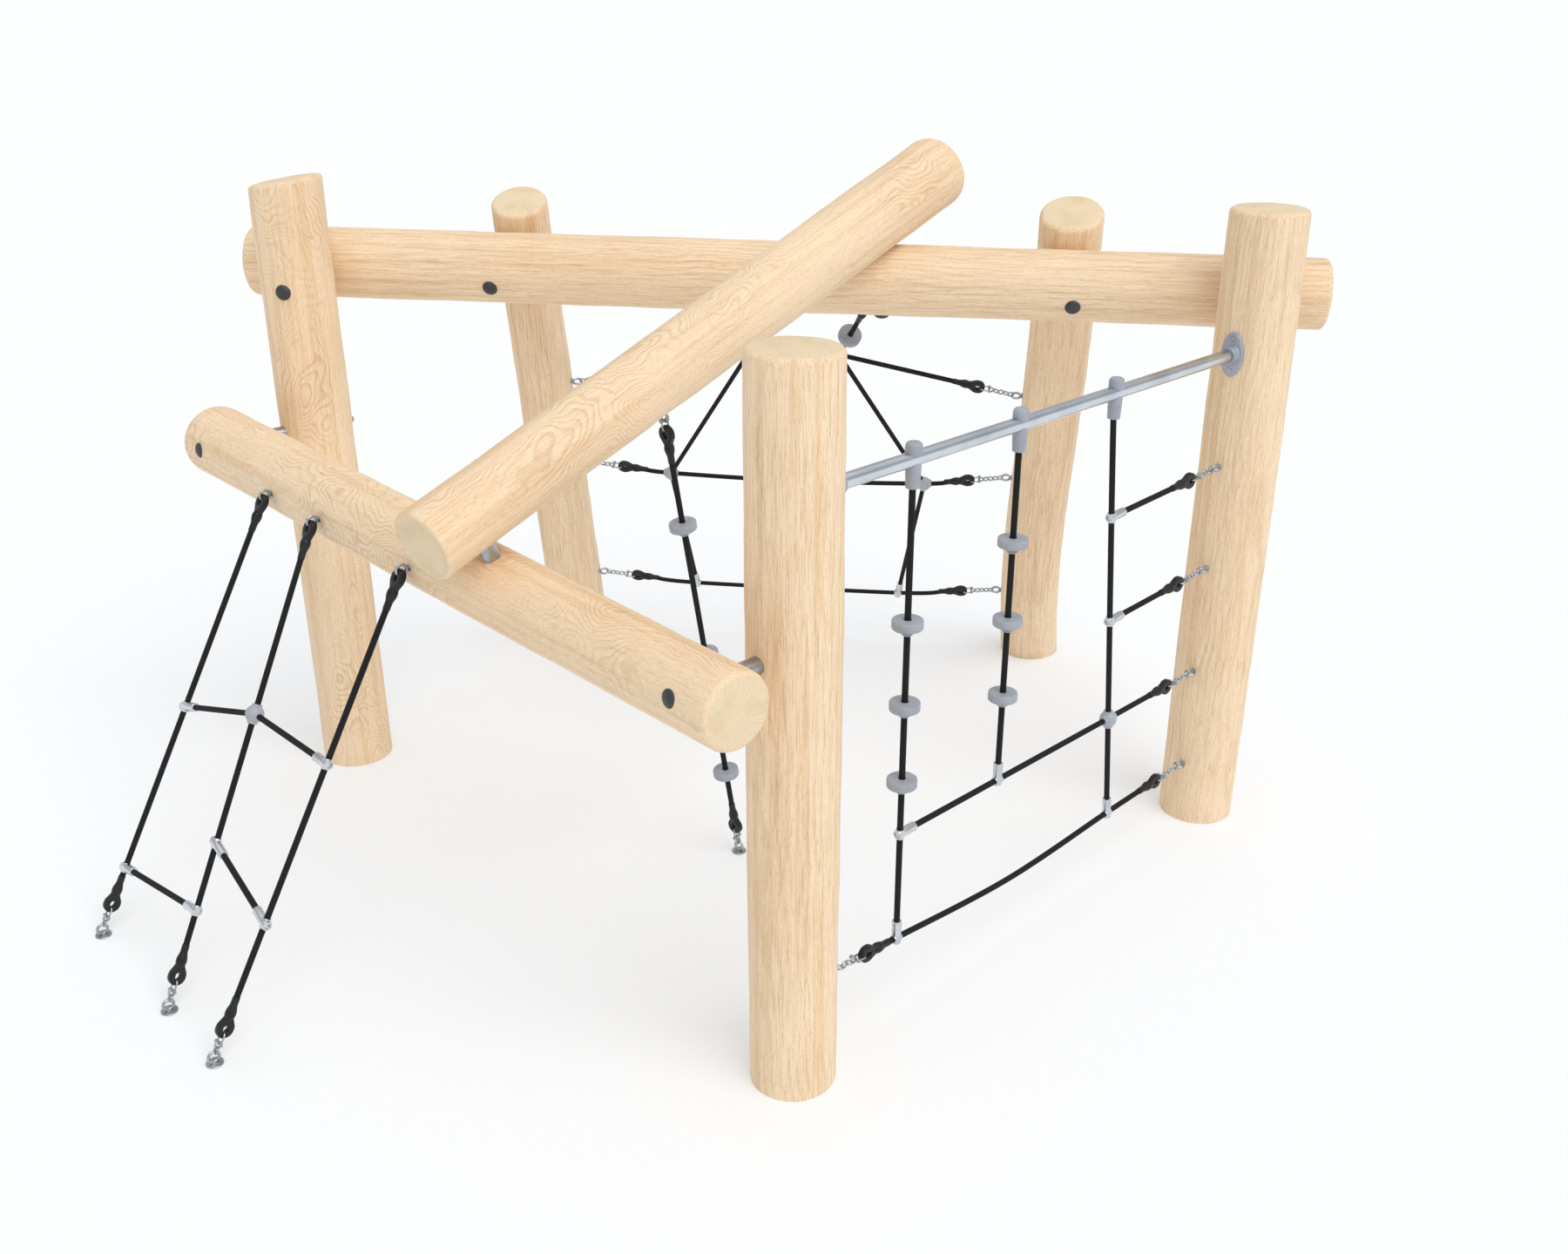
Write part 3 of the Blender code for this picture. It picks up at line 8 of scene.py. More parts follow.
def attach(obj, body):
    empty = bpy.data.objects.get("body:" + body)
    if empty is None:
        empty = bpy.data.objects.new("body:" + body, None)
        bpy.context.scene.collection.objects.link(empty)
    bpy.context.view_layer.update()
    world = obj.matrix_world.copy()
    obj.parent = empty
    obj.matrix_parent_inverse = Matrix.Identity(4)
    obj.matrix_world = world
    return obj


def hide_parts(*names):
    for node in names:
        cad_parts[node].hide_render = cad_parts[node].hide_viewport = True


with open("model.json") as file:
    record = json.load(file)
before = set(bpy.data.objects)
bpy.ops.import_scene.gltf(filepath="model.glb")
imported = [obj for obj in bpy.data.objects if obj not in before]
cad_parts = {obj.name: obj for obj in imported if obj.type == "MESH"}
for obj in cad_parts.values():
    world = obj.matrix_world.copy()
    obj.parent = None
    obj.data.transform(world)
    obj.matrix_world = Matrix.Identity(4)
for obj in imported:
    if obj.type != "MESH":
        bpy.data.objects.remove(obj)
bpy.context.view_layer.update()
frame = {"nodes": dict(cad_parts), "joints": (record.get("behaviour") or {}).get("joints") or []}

# Upright posts
# Three peeled and machine-rounded trunks stand in the ground at the corners of the frame.
# The wood is pale and matt, with long straight streaks along the trunk and eased heads.
UP = Vector((0.0, 0.0, 1.0))
MERGE_WITHIN = 0.00002
SMOOTH_BELOW = radians(35)
NEARLY_UPRIGHT = 0.1
bpy.context.tool_settings.mesh_select_mode = (True, False, False)


def heading(start, end):
    return (end - start).normalized()


def any_side(direction):
    """A level direction square to the given one, or X where that is upright."""
    side = UP.cross(direction)
    if side.length < NEARLY_UPRIGHT:
        side = Vector((1.0, 0.0, 0.0))
    return side.normalized()


def basis(origin, pull, side=None):
    """Placement whose Z runs along pull and whose X lies as near to side as it can."""
    if side is None:
        side = any_side(pull)
    z_axis = pull.normalized()
    x_axis = (side - z_axis * side.dot(z_axis)).normalized()
    turned = Matrix((x_axis, z_axis.cross(x_axis), z_axis)).transposed().to_4x4()
    return Matrix.Translation(origin) @ turned


def select_only(*pieces):
    """Select these pieces and nothing else, with the first one active."""
    bpy.ops.object.select_all(action="DESELECT")
    for piece in reversed(pieces):
        piece.select_set(True)
        bpy.context.view_layer.objects.active = piece


def edit_whole():
    bpy.ops.object.mode_set(mode="EDIT")
    bpy.ops.mesh.select_all(action="SELECT")


def close_mesh(merge):
    """Merge the mesh or fill its ends, turn its faces outwards and smooth its soft edges."""
    bpy.ops.mesh.select_all(action="SELECT")
    if merge:
        bpy.ops.mesh.remove_doubles(threshold=MERGE_WITHIN)
    else:
        bpy.ops.mesh.fill_holes(sides=0)
    bpy.ops.mesh.normals_make_consistent(inside=False)
    bpy.ops.object.mode_set(mode="OBJECT")
    bpy.ops.object.shade_smooth_by_angle(angle=SMOOTH_BELOW)


def turn(name, profile, sides, closed=False, place=None):
    """A round piece drawn out of one circle, ring after ring of (radius, height)."""
    select_only()
    radius, height = profile[0]
    bpy.ops.mesh.primitive_circle_add(vertices=sides, radius=radius, location=(0, 0, height))
    piece = bpy.context.object
    piece.name = name
    piece.data.name = name
    edit_whole()
    for new_radius, new_height in profile[1:]:
        rise = new_height - height
        bpy.ops.mesh.extrude_region_move(TRANSFORM_OT_translate={"value": (0, 0, rise)})
        if new_radius != radius:
            share = new_radius / radius
            bpy.ops.transform.resize(value=(share, share, 1), center_override=(0, 0, new_height))
        radius, height = new_radius, new_height
    close_mesh(closed)
    bpy.ops.object.transform_apply(location=True, rotation=False, scale=False)
    if place:
        piece.data.transform(place)
    return piece


def keep_lay(piece, shift=Vector()):
    """Note each point's place on the straight piece, for patterns that run along it."""
    lay = piece.data.attributes.new("lay", "FLOAT_VECTOR", "POINT")
    for mark, vertex in zip(lay.data, piece.data.vertices):
        mark.vector = vertex.co + shift


def plug(target, sockets):
    """Give each socket of a node its value, or join it to another node's output."""
    for key, value in sockets.items():
        if isinstance(value, bpy.types.NodeSocket):
            target.id_data.links.new(value, target.inputs[key])
        else:
            target.inputs[key].default_value = value


def node(tree, kind, sockets=None, **settings):
    made = tree.nodes.new("ShaderNode" + kind)
    for key, value in settings.items():
        setattr(made, key, value)
    plug(made, sockets or {})
    return made


def math_on(operation, first, second=0.0):
    return node(first.id_data, "Math", {0: first, 1: second}, operation=operation).outputs[0]


def eased_step(value, start, end):
    sockets = {"Value": value, "From Min": start, "From Max": end}
    step = node(value.id_data, "MapRange", sockets, interpolation_type="SMOOTHSTEP")
    return step.outputs["Result"]


def stretched_noise(place, scale, detail=3.0, roughness=0.5, distortion=0.0):
    """Noise in one scale, or in one for each axis."""
    if isinstance(scale, float):
        scale = (scale, scale, scale)
    tree = place.id_data
    mapping = node(tree, "Mapping", {"Vector": place, "Scale": scale})
    return node(tree, "TexNoise", {
        "Vector": mapping.outputs[0], "Scale": 1.0, "Detail": detail,
        "Roughness": roughness, "Distortion": distortion}).outputs[0]


def blend_colours(share, first, second):
    sockets = {0: share, 6: (*first, 1.0), 7: (*second, 1.0)}
    return node(share.id_data, "Mix", sockets, data_type="RGBA").outputs[2]


def tinted(colour, *tints):
    """The colour, multiplied by each tint where the tint's pattern goes from start to end."""
    for pattern, start, end, tint, amount in tints:
        share = math_on("MULTIPLY", eased_step(pattern, start, end), amount)
        sockets = {0: share, 6: colour, 7: (*tint, 1.0)}
        mix = node(share.id_data, "Mix", sockets, data_type="RGBA", blend_type="MULTIPLY")
        colour = mix.outputs[2]
    return colour


def empty_finish(name, colour, roughness, metallic=0.0, specular=0.5):
    """A new material with its Principled shader set to one colour, ready for its pattern."""
    finish = bpy.data.materials.new(name)
    finish.use_nodes = True
    tree = finish.node_tree
    shader = tree.nodes["Principled BSDF"]
    plug(shader, {"Base Color": (*colour, 1.0), "Roughness": roughness,
                  "Metallic": metallic, "Specular IOR Level": specular})
    return finish, tree, shader


def uneven_gloss(shader, pattern, low, high):
    sockets = {"Value": pattern, "To Min": low, "To Max": high}
    rough = node(shader.id_data, "MapRange", sockets)
    plug(shader, {"Roughness": rough.outputs["Result"]})


def cover(shader, colour, relief, strength, distance):
    """Give the shader its patterned colour and its relief."""
    sockets = {"Height": relief, "Strength": strength, "Distance": distance}
    bump = node(shader.id_data, "Bump", sockets)
    plug(shader, {"Base Color": colour, "Normal": bump.outputs[0]})


def lay_place(tree):
    return node(tree, "Attribute", attribute_name="lay").outputs["Vector"]


def split_place(lay):
    """A place in its three parts, without its height, and as a distance from the core."""
    tree = lay.id_data
    apart = node(tree, "SeparateXYZ", {0: lay}).outputs
    across = node(tree, "CombineXYZ", {0: apart[0], 1: apart[1]}).outputs[0]
    core = node(tree, "VectorMath", {0: across}, operation="LENGTH").outputs["Value"]
    return apart, across, core


def late_wood(core, swing, wander, year, eased):
    """The dark part of each year's ring, at a distance from a core that wanders."""
    from_core = math_on("ADD", core, math_on("MULTIPLY", swing, wander))
    ring = math_on("FRACT", math_on("DIVIDE", from_core, year))
    dark_from, dark, fading = eased
    return math_on("SUBTRACT", eased_step(ring, dark_from, dark), eased_step(ring, fading, 1.0))


PALE_SAPWOOD = (0.93, 0.735, 0.51)
LATE_WOOD = (0.72, 0.51, 0.31)
END_WOOD = (0.89, 0.735, 0.515)
END_LATE_WOOD = (0.56, 0.40, 0.23)


def wood_finish(name, year, wander, wander_scale, ring_share, fibre_share):
    """Growth rings round the trunk's core, cut open wherever the round surface wanders."""
    finish, tree, shader = empty_finish(name, PALE_SAPWOOD, 0.62)
    lay = lay_place(tree)
    core = split_place(lay)[2]
    swing = stretched_noise(lay, wander_scale, 2.0, 0.45, 0.25)
    late = late_wood(core, swing, wander, year, (0.40, 0.80, 0.84))
    fibre = stretched_noise(lay, (480.0, 480.0, 9.0), 4.0, 0.66)
    streak = stretched_noise(lay, (42.0, 42.0, 0.9), 3.0, 0.55)
    cloud = stretched_noise(lay, (4.0, 4.0, 1.3), 2.0)
    fleck = stretched_noise(lay, (420.0, 420.0, 60.0), 3.0, 0.55)
    patch = eased_step(stretched_noise(lay, (7.0, 7.0, 4.0), 2.0), 0.38, 0.62)
    clear = math_on("MULTIPLY", math_on("ADD", patch, 0.25), ring_share)
    rings = math_on("MULTIPLY", late, clear)
    colour = tinted(
        blend_colours(rings, PALE_SAPWOOD, LATE_WOOD),
        (fibre, 0.47, 0.66, (0.76, 0.68, 0.60), fibre_share),
        (streak, 0.46, 0.68, (0.90, 0.82, 0.71), 0.75),
        (cloud, 0.35, 0.75, (0.97, 0.93, 0.88), 0.70),
        (fleck, 0.52, 0.70, (0.76, 0.70, 0.63), 0.60))
    uneven_gloss(shader, fibre, 0.50, 0.72)
    relief = math_on("ADD", math_on("MULTIPLY", fibre, 0.7), math_on("MULTIPLY", rings, 0.5))
    cover(shader, colour, relief, 0.28, 0.0010)
    return finish


def end_grain_finish():
    """Sawn ends: close rings, fine rays from the core, specks and soft patches."""
    finish, tree, shader = empty_finish("end_grain", END_WOOD, 0.75)
    lay = lay_place(tree)
    apart, across, core = split_place(lay)
    swing = stretched_noise(across, 14.0, 2.0)
    late = late_wood(core, swing, 0.012, 0.0042, (0.45, 0.85, 0.88))
    bearing = math_on("ARCTAN2", apart[1], apart[0])
    rays = node(tree, "TexNoise", {"W": bearing, "Scale": 22.0, "Detail": 4.0},
                noise_dimensions="1D").outputs[0]
    speck = stretched_noise(lay, 420.0)
    patch = stretched_noise(lay, 16.0, 2.0)
    rings = math_on("MULTIPLY", late, 0.50)
    colour = tinted(
        blend_colours(rings, END_WOOD, END_LATE_WOOD),
        (rays, 0.48, 0.66, (0.84, 0.79, 0.72), 0.55),
        (speck, 0.45, 0.70, (0.84, 0.80, 0.74), 0.60),
        (patch, 0.45, 0.70, (0.92, 0.89, 0.84), 0.80))
    relief = math_on("ADD", math_on("MULTIPLY", speck, 0.6), math_on("MULTIPLY", late, 0.4))
    cover(shader, colour, relief, 0.25, 0.0008)
    return finish


straight_wood = wood_finish("peeled_wood_straight", 0.0028, 0.018, (4.0, 4.0, 0.5), 0.30, 0.90)
swirled_wood = wood_finish("peeled_wood_swirled", 0.0042, 0.120, (5.2, 5.2, 3.4), 0.50, 0.50)
end_grain = end_grain_finish()

bark_waves = bpy.data.textures.new("bark_waves", "CLOUDS")
bark_waves.noise_scale = 0.16
WAVE_DEPTH = 0.005
LOG_SIDES, LOG_STEP = 64, 0.05
EASED_END, EASE_STEPS = 0.014, 5
SAWN_FACE = 0.98
SLANT_REACH = 0.10
NEARLY_ALONG_X = 0.9


class Trunk:
    """One log's axis, with its taper, swell and slight bends."""

    def __init__(self, foot, head, foot_radius, head_radius, swell=0.0, bow=0.0, sway=0.0):
        self.foot = Vector(foot)
        self.head = Vector(head)
        self.foot_radius = foot_radius
        self.head_radius = head_radius
        self.swell = swell
        self.bow = bow
        self.sway = sway

    def length(self):
        return (self.head - self.foot).length

    def direction(self):
        return heading(self.foot, self.head)

    def bend(self, share):
        return self.bow * sin(pi * share) + self.sway * sin(2 * pi * share)

    def axis(self, share):
        return self.foot.lerp(self.head, share) + Vector((self.bend(share), 0.0, 0.0))

    def radius(self, share):
        straight = self.foot_radius + (self.head_radius - self.foot_radius) * share
        return straight + self.swell * sin(pi * share)

    def share_at_height(self, height):
        return (height - self.foot.z) / (self.head.z - self.foot.z)

    def share_at_x(self, x):
        return (x - self.foot.x) / (self.head.x - self.foot.x)


def eased_edge(depth):
    """A log's rounded rim, as (way in from the end, radius lost there)."""
    angles = [step * pi / 2 / EASE_STEPS for step in range(EASE_STEPS + 1)]
    return [(depth * (1 - cos(angle)), depth * (1 - sin(angle))) for angle in angles]


def peel(name, trunk, side_wood, core_shift, eased=(EASED_END, EASED_END), slant=0.0,
         drop=0.0):
    """Round a trunk, ease its ends, let its surface wave a little and give it its grain."""
    length = trunk.length()
    stations = eased_edge(eased[0]) if eased[0] else [(0.0, 0.0)]
    count = round(length / LOG_STEP)
    start, stop = stations[-1][0], length - eased[1]
    stations += [(start + (stop - start) * step / count, 0.0) for step in range(1, count)]
    stations += [(length - inward, loss) for inward, loss in reversed(eased_edge(eased[1]))]
    profile = [(trunk.radius(height / length) - loss, height) for height, loss in stations]
    log = turn(name, profile, LOG_SIDES)
    log.data.materials.append(side_wood)
    log.data.materials.append(end_grain)
    for face in log.data.polygons:
        face.material_index = 1 if abs(face.normal.z) > SAWN_FACE else 0
    wave = log.modifiers.new("waves", "DISPLACE")
    wave.texture = bark_waves
    wave.texture_coords = "LOCAL"
    wave.strength = WAVE_DEPTH
    wave.mid_level = 0.5
    bpy.ops.object.modifier_apply(modifier=wave.name)
    keep_lay(log, Vector(core_shift))
    side = Vector((1.0, 0.0, 0.0))
    if abs(trunk.direction().x) > NEARLY_ALONG_X:
        side = Vector((0.0, 1.0, 0.0))
    place = basis(trunk.foot, trunk.direction(), side)
    for vertex in log.data.vertices:
        near_head = max(0.0, 1.0 - (length - vertex.co.z) / SLANT_REACH)
        if slant:
            vertex.co.z += (vertex.co.x * slant - drop) * near_head
        bent = trunk.bend(vertex.co.z / length)
        vertex.co = place @ vertex.co + Vector((bent, 0.0, 0.0))
    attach(log, "root")
    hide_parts(name)
    return log


front = Trunk((0.3387, -1.1898, 0.0), (0.3387, -1.1898, 1.816), 0.1055, 0.1045, swell=0.002)
left = Trunk((-1.3513, 0.2392, 0.0), (-1.3513, 0.2392, 1.917), 0.1115, 0.107)
right = Trunk((1.4647, 0.2422, 0.0), (1.4647, 0.2422, 1.885), 0.111, 0.108, swell=0.003)
peel("post_front", front, straight_wood, (0.012, 0.008, 3.1), (0.0, EASED_END))
peel("post_left", left, swirled_wood, (-0.020, 0.030, 7.7), (0.0, EASED_END), 0.16, 0.007)
peel("post_right", right, straight_wood, (0.015, -0.012, 11.3), (0.0, EASED_END))

# Leaning posts
# Two thinner trunks lean forward against the back of the top beam and are cut off at ground
# level.  The right one is naturally bent a little to one side.


def cut_level(log):
    """Saw the log off at ground level."""
    select_only(log)
    edit_whole()
    bpy.ops.mesh.bisect(
        plane_co=(0, 0, 0), plane_no=(0, 0, 1), use_fill=True, clear_inner=True)
    bpy.ops.object.mode_set(mode="OBJECT")


back_left = Trunk((-0.8783, 1.4930, -0.2), (-0.7511, 0.5770, 1.81), 0.112, 0.087, bow=-0.001)
back_right = Trunk(
    (0.9674, 1.4939, -0.2), (0.9501, 0.5779, 1.81), 0.111, 0.095, bow=-0.025, sway=-0.013)
for name, trunk, shift in (
        ("post_back_left", back_left, (0.02, 0.01, 15.9)),
        ("post_back_right", back_right, (-0.01, 0.02, 19.4))):
    cut_level(peel(name, trunk, straight_wood, shift, slant=0.05))

# Beams
# The top beam lies across the heads of the posts; the low beam stands off two posts on steel
# tubes.  The sloping beam climbs from the low beam over the top beam, with a well rounded head.
top_beam = Trunk((-1.5775, 0.4505, 1.6313), (1.6855, 0.4508, 1.6127), 0.108, 0.1025)
low_beam = Trunk((0.2593, -1.4587, 1.1312), (-1.6243, 0.1100, 1.1489), 0.090, 0.106)
sloping = Trunk((-0.5244, -1.0712, 1.2995), (0.5438, 0.6877, 1.9134), 0.089, 0.107)
peel("beam_top", top_beam, straight_wood, (0.010, 0.014, 23.0))
peel("beam_low", low_beam, swirled_wood, (0.022, -0.016, 27.2), (0.012, 0.030))
peel("beam_sloping", sloping, swirled_wood, (-0.026, 0.018, 31.6), (0.008, 0.034))

# Bolts
# Galvanised bolts hold the logs together, each head under a dark domed plastic cap.  Through
# bolts end in a washer and a nut, lag bolts in the wood, and steel tubes keep some logs apart.


def plain_finish(name, colour, tint, roughness, metallic, grain, relief, specular=0.5):
    """A finish with fine grain, larger clouds of tint and an uneven gloss."""
    finish, tree, shader = empty_finish(name, colour, roughness, metallic, specular)
    place = node(tree, "TexCoord").outputs["Object"]
    fine = stretched_noise(place, grain)
    clouds = eased_step(stretched_noise(place, 23.0), 0.35, 0.68)
    shade = tinted(blend_colours(clouds, colour, tint),
                   (fine, 0.45, 0.75, (0.80, 0.80, 0.80), 0.5))
    uneven_gloss(shader, fine, roughness * 0.75, min(1.0, roughness * 1.3))
    cover(shader, shade, fine, 0.3, relief)
    return finish


galvanised = plain_finish(
    "galvanised_steel", (0.50, 0.52, 0.54), (0.38, 0.40, 0.42), 0.30, 1.0, 190.0, 0.0003)
dark_cap = plain_finish(
    "dark_cap_plastic", (0.030, 0.030, 0.031), (0.042, 0.042, 0.044), 0.45, 0.0, 900.0, 0.0002)


def dress(piece, finish, body="root"):
    """Give a placed piece its finish and its body."""
    piece.data.materials.clear()
    piece.data.materials.append(finish)
    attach(piece, body)


def put_in(name, data):
    """A new object in the scene."""
    added = bpy.data.objects.new(name, data)
    bpy.context.scene.collection.objects.link(added)
    return added


def copied(pattern, name, place):
    """A copy of a modelled piece with its own mesh, at its place."""
    copy = put_in(name, pattern.data.copy())
    copy.data.name = name
    copy.data.transform(place)
    return copy


def joined(name, pieces):
    select_only(*pieces)
    if len(pieces) > 1:
        bpy.ops.object.join()
    pieces[0].name = name
    pieces[0].data.name = name
    return pieces[0]


END_DEPTH = 0.0012


def ends_of(cad_name):
    """The middles of a long CAD piece's two ends, found along its longest way."""
    points = [vertex.co for vertex in frame["nodes"][cad_name].data.vertices]
    far = max(points, key=lambda point: (point - points[0]).length)
    near = max(points, key=lambda point: (point - far).length)
    for _ in range(3):
        way = heading(near, far)
        reach = [(point - near).dot(way) for point in points]
        low, high = min(reach), max(reach)
        ends = []
        for limit in (low, high):
            close = {tuple(round(c, 5) for c in point)
                     for point, along in zip(points, reach) if abs(along - limit) < END_DEPTH}
            ends.append(sum((Vector(point) for point in close), Vector()) / len(close))
        near, far = ends
    return near, far


CAP_RADIUS, CAP_SKIRT, CAP_HEIGHT = 0.023, 0.0045, 0.0165
BOLT_RADIUS, BOLT_TIP = 0.008, 0.002
WASHER_THICKNESS, NUT_SEAT = 0.003, 0.0210
TUBE_RADIUS, TUBE_BORE, TUBE_EDGE = 0.021, 0.018, 0.0004
TUBE_SUNK, TUBE_LENGTH = 0.030, 0.110
cap_dome = CAP_HEIGHT - CAP_SKIRT
cap_pattern = turn("cap", [
    (0.0010, 0.0), (CAP_RADIUS * 0.97, 0.0), (CAP_RADIUS, 0.0008),
    *[(CAP_RADIUS * cos(step * pi / 20), CAP_SKIRT + cap_dome * sin(step * pi / 20))
      for step in range(10)]], 40)
nut_pattern = turn("nut", [
    (BOLT_RADIUS, 0.0), (0.0130, 0.0), (0.0139, 0.0010), (0.0139, 0.0120), (0.0130, 0.0130),
    (BOLT_RADIUS, 0.0130), (BOLT_RADIUS, 0.0175), (BOLT_RADIUS - 0.001, 0.0180)], 6)
washer_pattern = turn("washer", [
    (BOLT_RADIUS, 0.0), (0.0216, 0.0), (0.0220, 0.0004), (0.0220, 0.0026),
    (0.0216, WASHER_THICKNESS), (BOLT_RADIUS, WASHER_THICKNESS)], 40)

# Each bolt's first log, and whether it has a nut and a spacer tube.
bolts = {
    "bolt_low_beam_front": (low_beam, True, True),
    "bolt_low_beam_left": (low_beam, True, True),
    "bolt_top_beam_left": (left, True, False),
    "bolt_top_beam_right": (top_beam, False, False),
    "bolt_back_post_left": (top_beam, True, False),
    "bolt_back_post_right": (top_beam, True, False),
    "bolt_sloping_low": (low_beam, False, True),
    "bolt_sloping_top": (top_beam, False, False),
}


def distance_to(trunk, point):
    """How far a point lies from a trunk's straight axis."""
    along = trunk.direction()
    off = point - trunk.foot
    return (off - along * off.dot(along)).length


for name, (first, nutted, spaced) in bolts.items():
    near, far = ends_of(name)
    if distance_to(first, near) > distance_to(first, far):
        near, far = far, near
    way = heading(near, far)
    side = any_side(way)
    length = (far - near).length
    cap = copied(cap_pattern, name + "_cap", basis(near + way * CAP_HEIGHT, -way, side))
    dress(cap, dark_cap)
    place = basis(near, way, side)
    metal = [turn(name + "_shank", [
        (BOLT_RADIUS, CAP_HEIGHT), (BOLT_RADIUS, length - BOLT_TIP),
        (BOLT_RADIUS - BOLT_TIP, length)], 24, place=place)]
    if nutted:
        seat = far - way * NUT_SEAT
        nut_at = seat + way * WASHER_THICKNESS
        metal.append(copied(washer_pattern, name + "_washer", basis(seat, way, side)))
        metal.append(copied(nut_pattern, name + "_nut", basis(nut_at, way, side)))
    if spaced:
        tube_start = CAP_HEIGHT + 2 * first.radius(0.5) - TUBE_SUNK
        metal.append(turn(name + "_tube", [
            (TUBE_BORE, tube_start), (TUBE_RADIUS - TUBE_EDGE, tube_start),
            (TUBE_RADIUS, tube_start + TUBE_EDGE), (TUBE_RADIUS, tube_start + TUBE_LENGTH)],
            40, place=place))
    bolt = joined(name + "_metal", metal)
    dress(bolt, galvanised)
    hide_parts(name)
for pattern in (cap_pattern, nut_pattern, washer_pattern):
    bpy.data.objects.remove(pattern)

# Cross pipe
# A bright drawn steel tube runs from the front post to the right post, held at each end by an
# oval cast flange with a collar and two screws.
PIPE_Z = 1.500
PIPE_RADIUS, PIPE_BORE, PIPE_EDGE = 0.018, 0.015, 0.0005
PIPE_SEAT, PIPE_RINGS = 0.009, 12
FLANGE_HALF_WIDTH, FLANGE_HALF_HEIGHT = 0.033, 0.0625
SCREW_RISE = 0.044


def drawn_finish(name, colour, tint, roughness, streaks):
    """Drawn metal: bright, with fine streaks along its length and faint clouds."""
    finish, tree, shader = empty_finish(name, colour, roughness, 1.0)
    lay = lay_place(tree)
    fine = stretched_noise(lay, streaks, 4.0, 0.6)
    clouds = eased_step(stretched_noise(lay, (14.0, 14.0, 7.0)), 0.35, 0.7)
    shade = tinted(blend_colours(clouds, colour, tint),
                   (fine, 0.42, 0.78, (0.84, 0.85, 0.87), 0.55))
    uneven_gloss(shader, fine, roughness * 0.7, roughness * 1.5)
    cover(shader, shade, fine, 0.12, 0.0002)
    return finish


bright_steel = drawn_finish(
    "bright_drawn_steel", (0.66, 0.70, 0.74), (0.54, 0.58, 0.63), 0.18, (420.0, 420.0, 8.0))
grey_casting = plain_finish(
    "grey_casting", (0.40, 0.43, 0.50), (0.33, 0.36, 0.42), 0.42, 0.30, 520.0, 0.0004)

front_at_pipe = front.axis(front.share_at_height(PIPE_Z))
right_at_pipe = right.axis(right.share_at_height(PIPE_Z))
pipe_way = heading(front_at_pipe, right_at_pipe)
face_front = front_at_pipe + pipe_way * front.radius(front.share_at_height(PIPE_Z))
face_right = right_at_pipe - pipe_way * right.radius(right.share_at_height(PIPE_Z))
pipe_length = (face_right - face_front).length - 2 * PIPE_SEAT
pipe = turn("cross_pipe_tube", [
    (PIPE_BORE, 0.0), (PIPE_RADIUS - PIPE_EDGE, 0.0), (PIPE_RADIUS, PIPE_EDGE),
    *[(PIPE_RADIUS, pipe_length * step / PIPE_RINGS) for step in range(1, PIPE_RINGS)],
    (PIPE_RADIUS, pipe_length - PIPE_EDGE), (PIPE_RADIUS - PIPE_EDGE, pipe_length),
    (PIPE_BORE, pipe_length), (PIPE_BORE, 0.0)], 48, True)
keep_lay(pipe)
pipe.data.transform(basis(face_front + pipe_way * PIPE_SEAT, pipe_way, UP))
dress(pipe, bright_steel)
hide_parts("cross_pipe")

for name, face, way in (
        ("pipe_flange_front", face_front, pipe_way),
        ("pipe_flange_right", face_right, -pipe_way)):
    plate = turn(name + "_plate", [
        (FLANGE_HALF_WIDTH, -0.0065), (FLANGE_HALF_WIDTH, 0.0040),
        (FLANGE_HALF_WIDTH - 0.0008, 0.0064), (FLANGE_HALF_WIDTH - 0.0030, 0.0078),
        (FLANGE_HALF_WIDTH - 0.0055, 0.0080)], 64)
    edit_whole()
    bpy.ops.transform.resize(
        value=(1, FLANGE_HALF_HEIGHT / FLANGE_HALF_WIDTH, 1), center_override=(0, 0, 0))
    bpy.ops.object.mode_set(mode="OBJECT")
    collar = turn(name + "_collar", [
        (0.0285, 0.0070), (0.0262, 0.0090), (0.0250, 0.0125), (0.0245, 0.0180),
        (0.0245, 0.0285), (0.0237, 0.0297), (0.0215, 0.0300), (0.0182, 0.0300),
        (0.0182, 0.0070), (0.0285, 0.0070)], 48, True)
    screws = [turn(name + "_screw", [
        (0.0067, 0.0060), (0.0067, 0.0095), (0.0060, 0.0108), (0.0045, 0.0113),
        (0.0034, 0.0113), (0.0030, 0.0096)], 24, place=Matrix.Translation((0.0, rise, 0.0)))
        for rise in (SCREW_RISE, -SCREW_RISE)]
    flange = joined(name + "_body", [plate, collar])
    heads = joined(name + "_screws", screws)
    place = basis(face, way, UP.cross(way))
    for piece, finish, slot in (
            (flange, grey_casting, "flange_grey"), (heads, galvanised, "bolt_steel")):
        piece.data.transform(place)
        dress(piece, finish)
    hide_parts(name)


def on_pipe(distance, height):
    """A point in the right net's plane: distance from the front post's axis, and height."""
    return Vector((
        front.foot.x + pipe_way.x * distance, front.foot.y + pipe_way.y * distance, height))


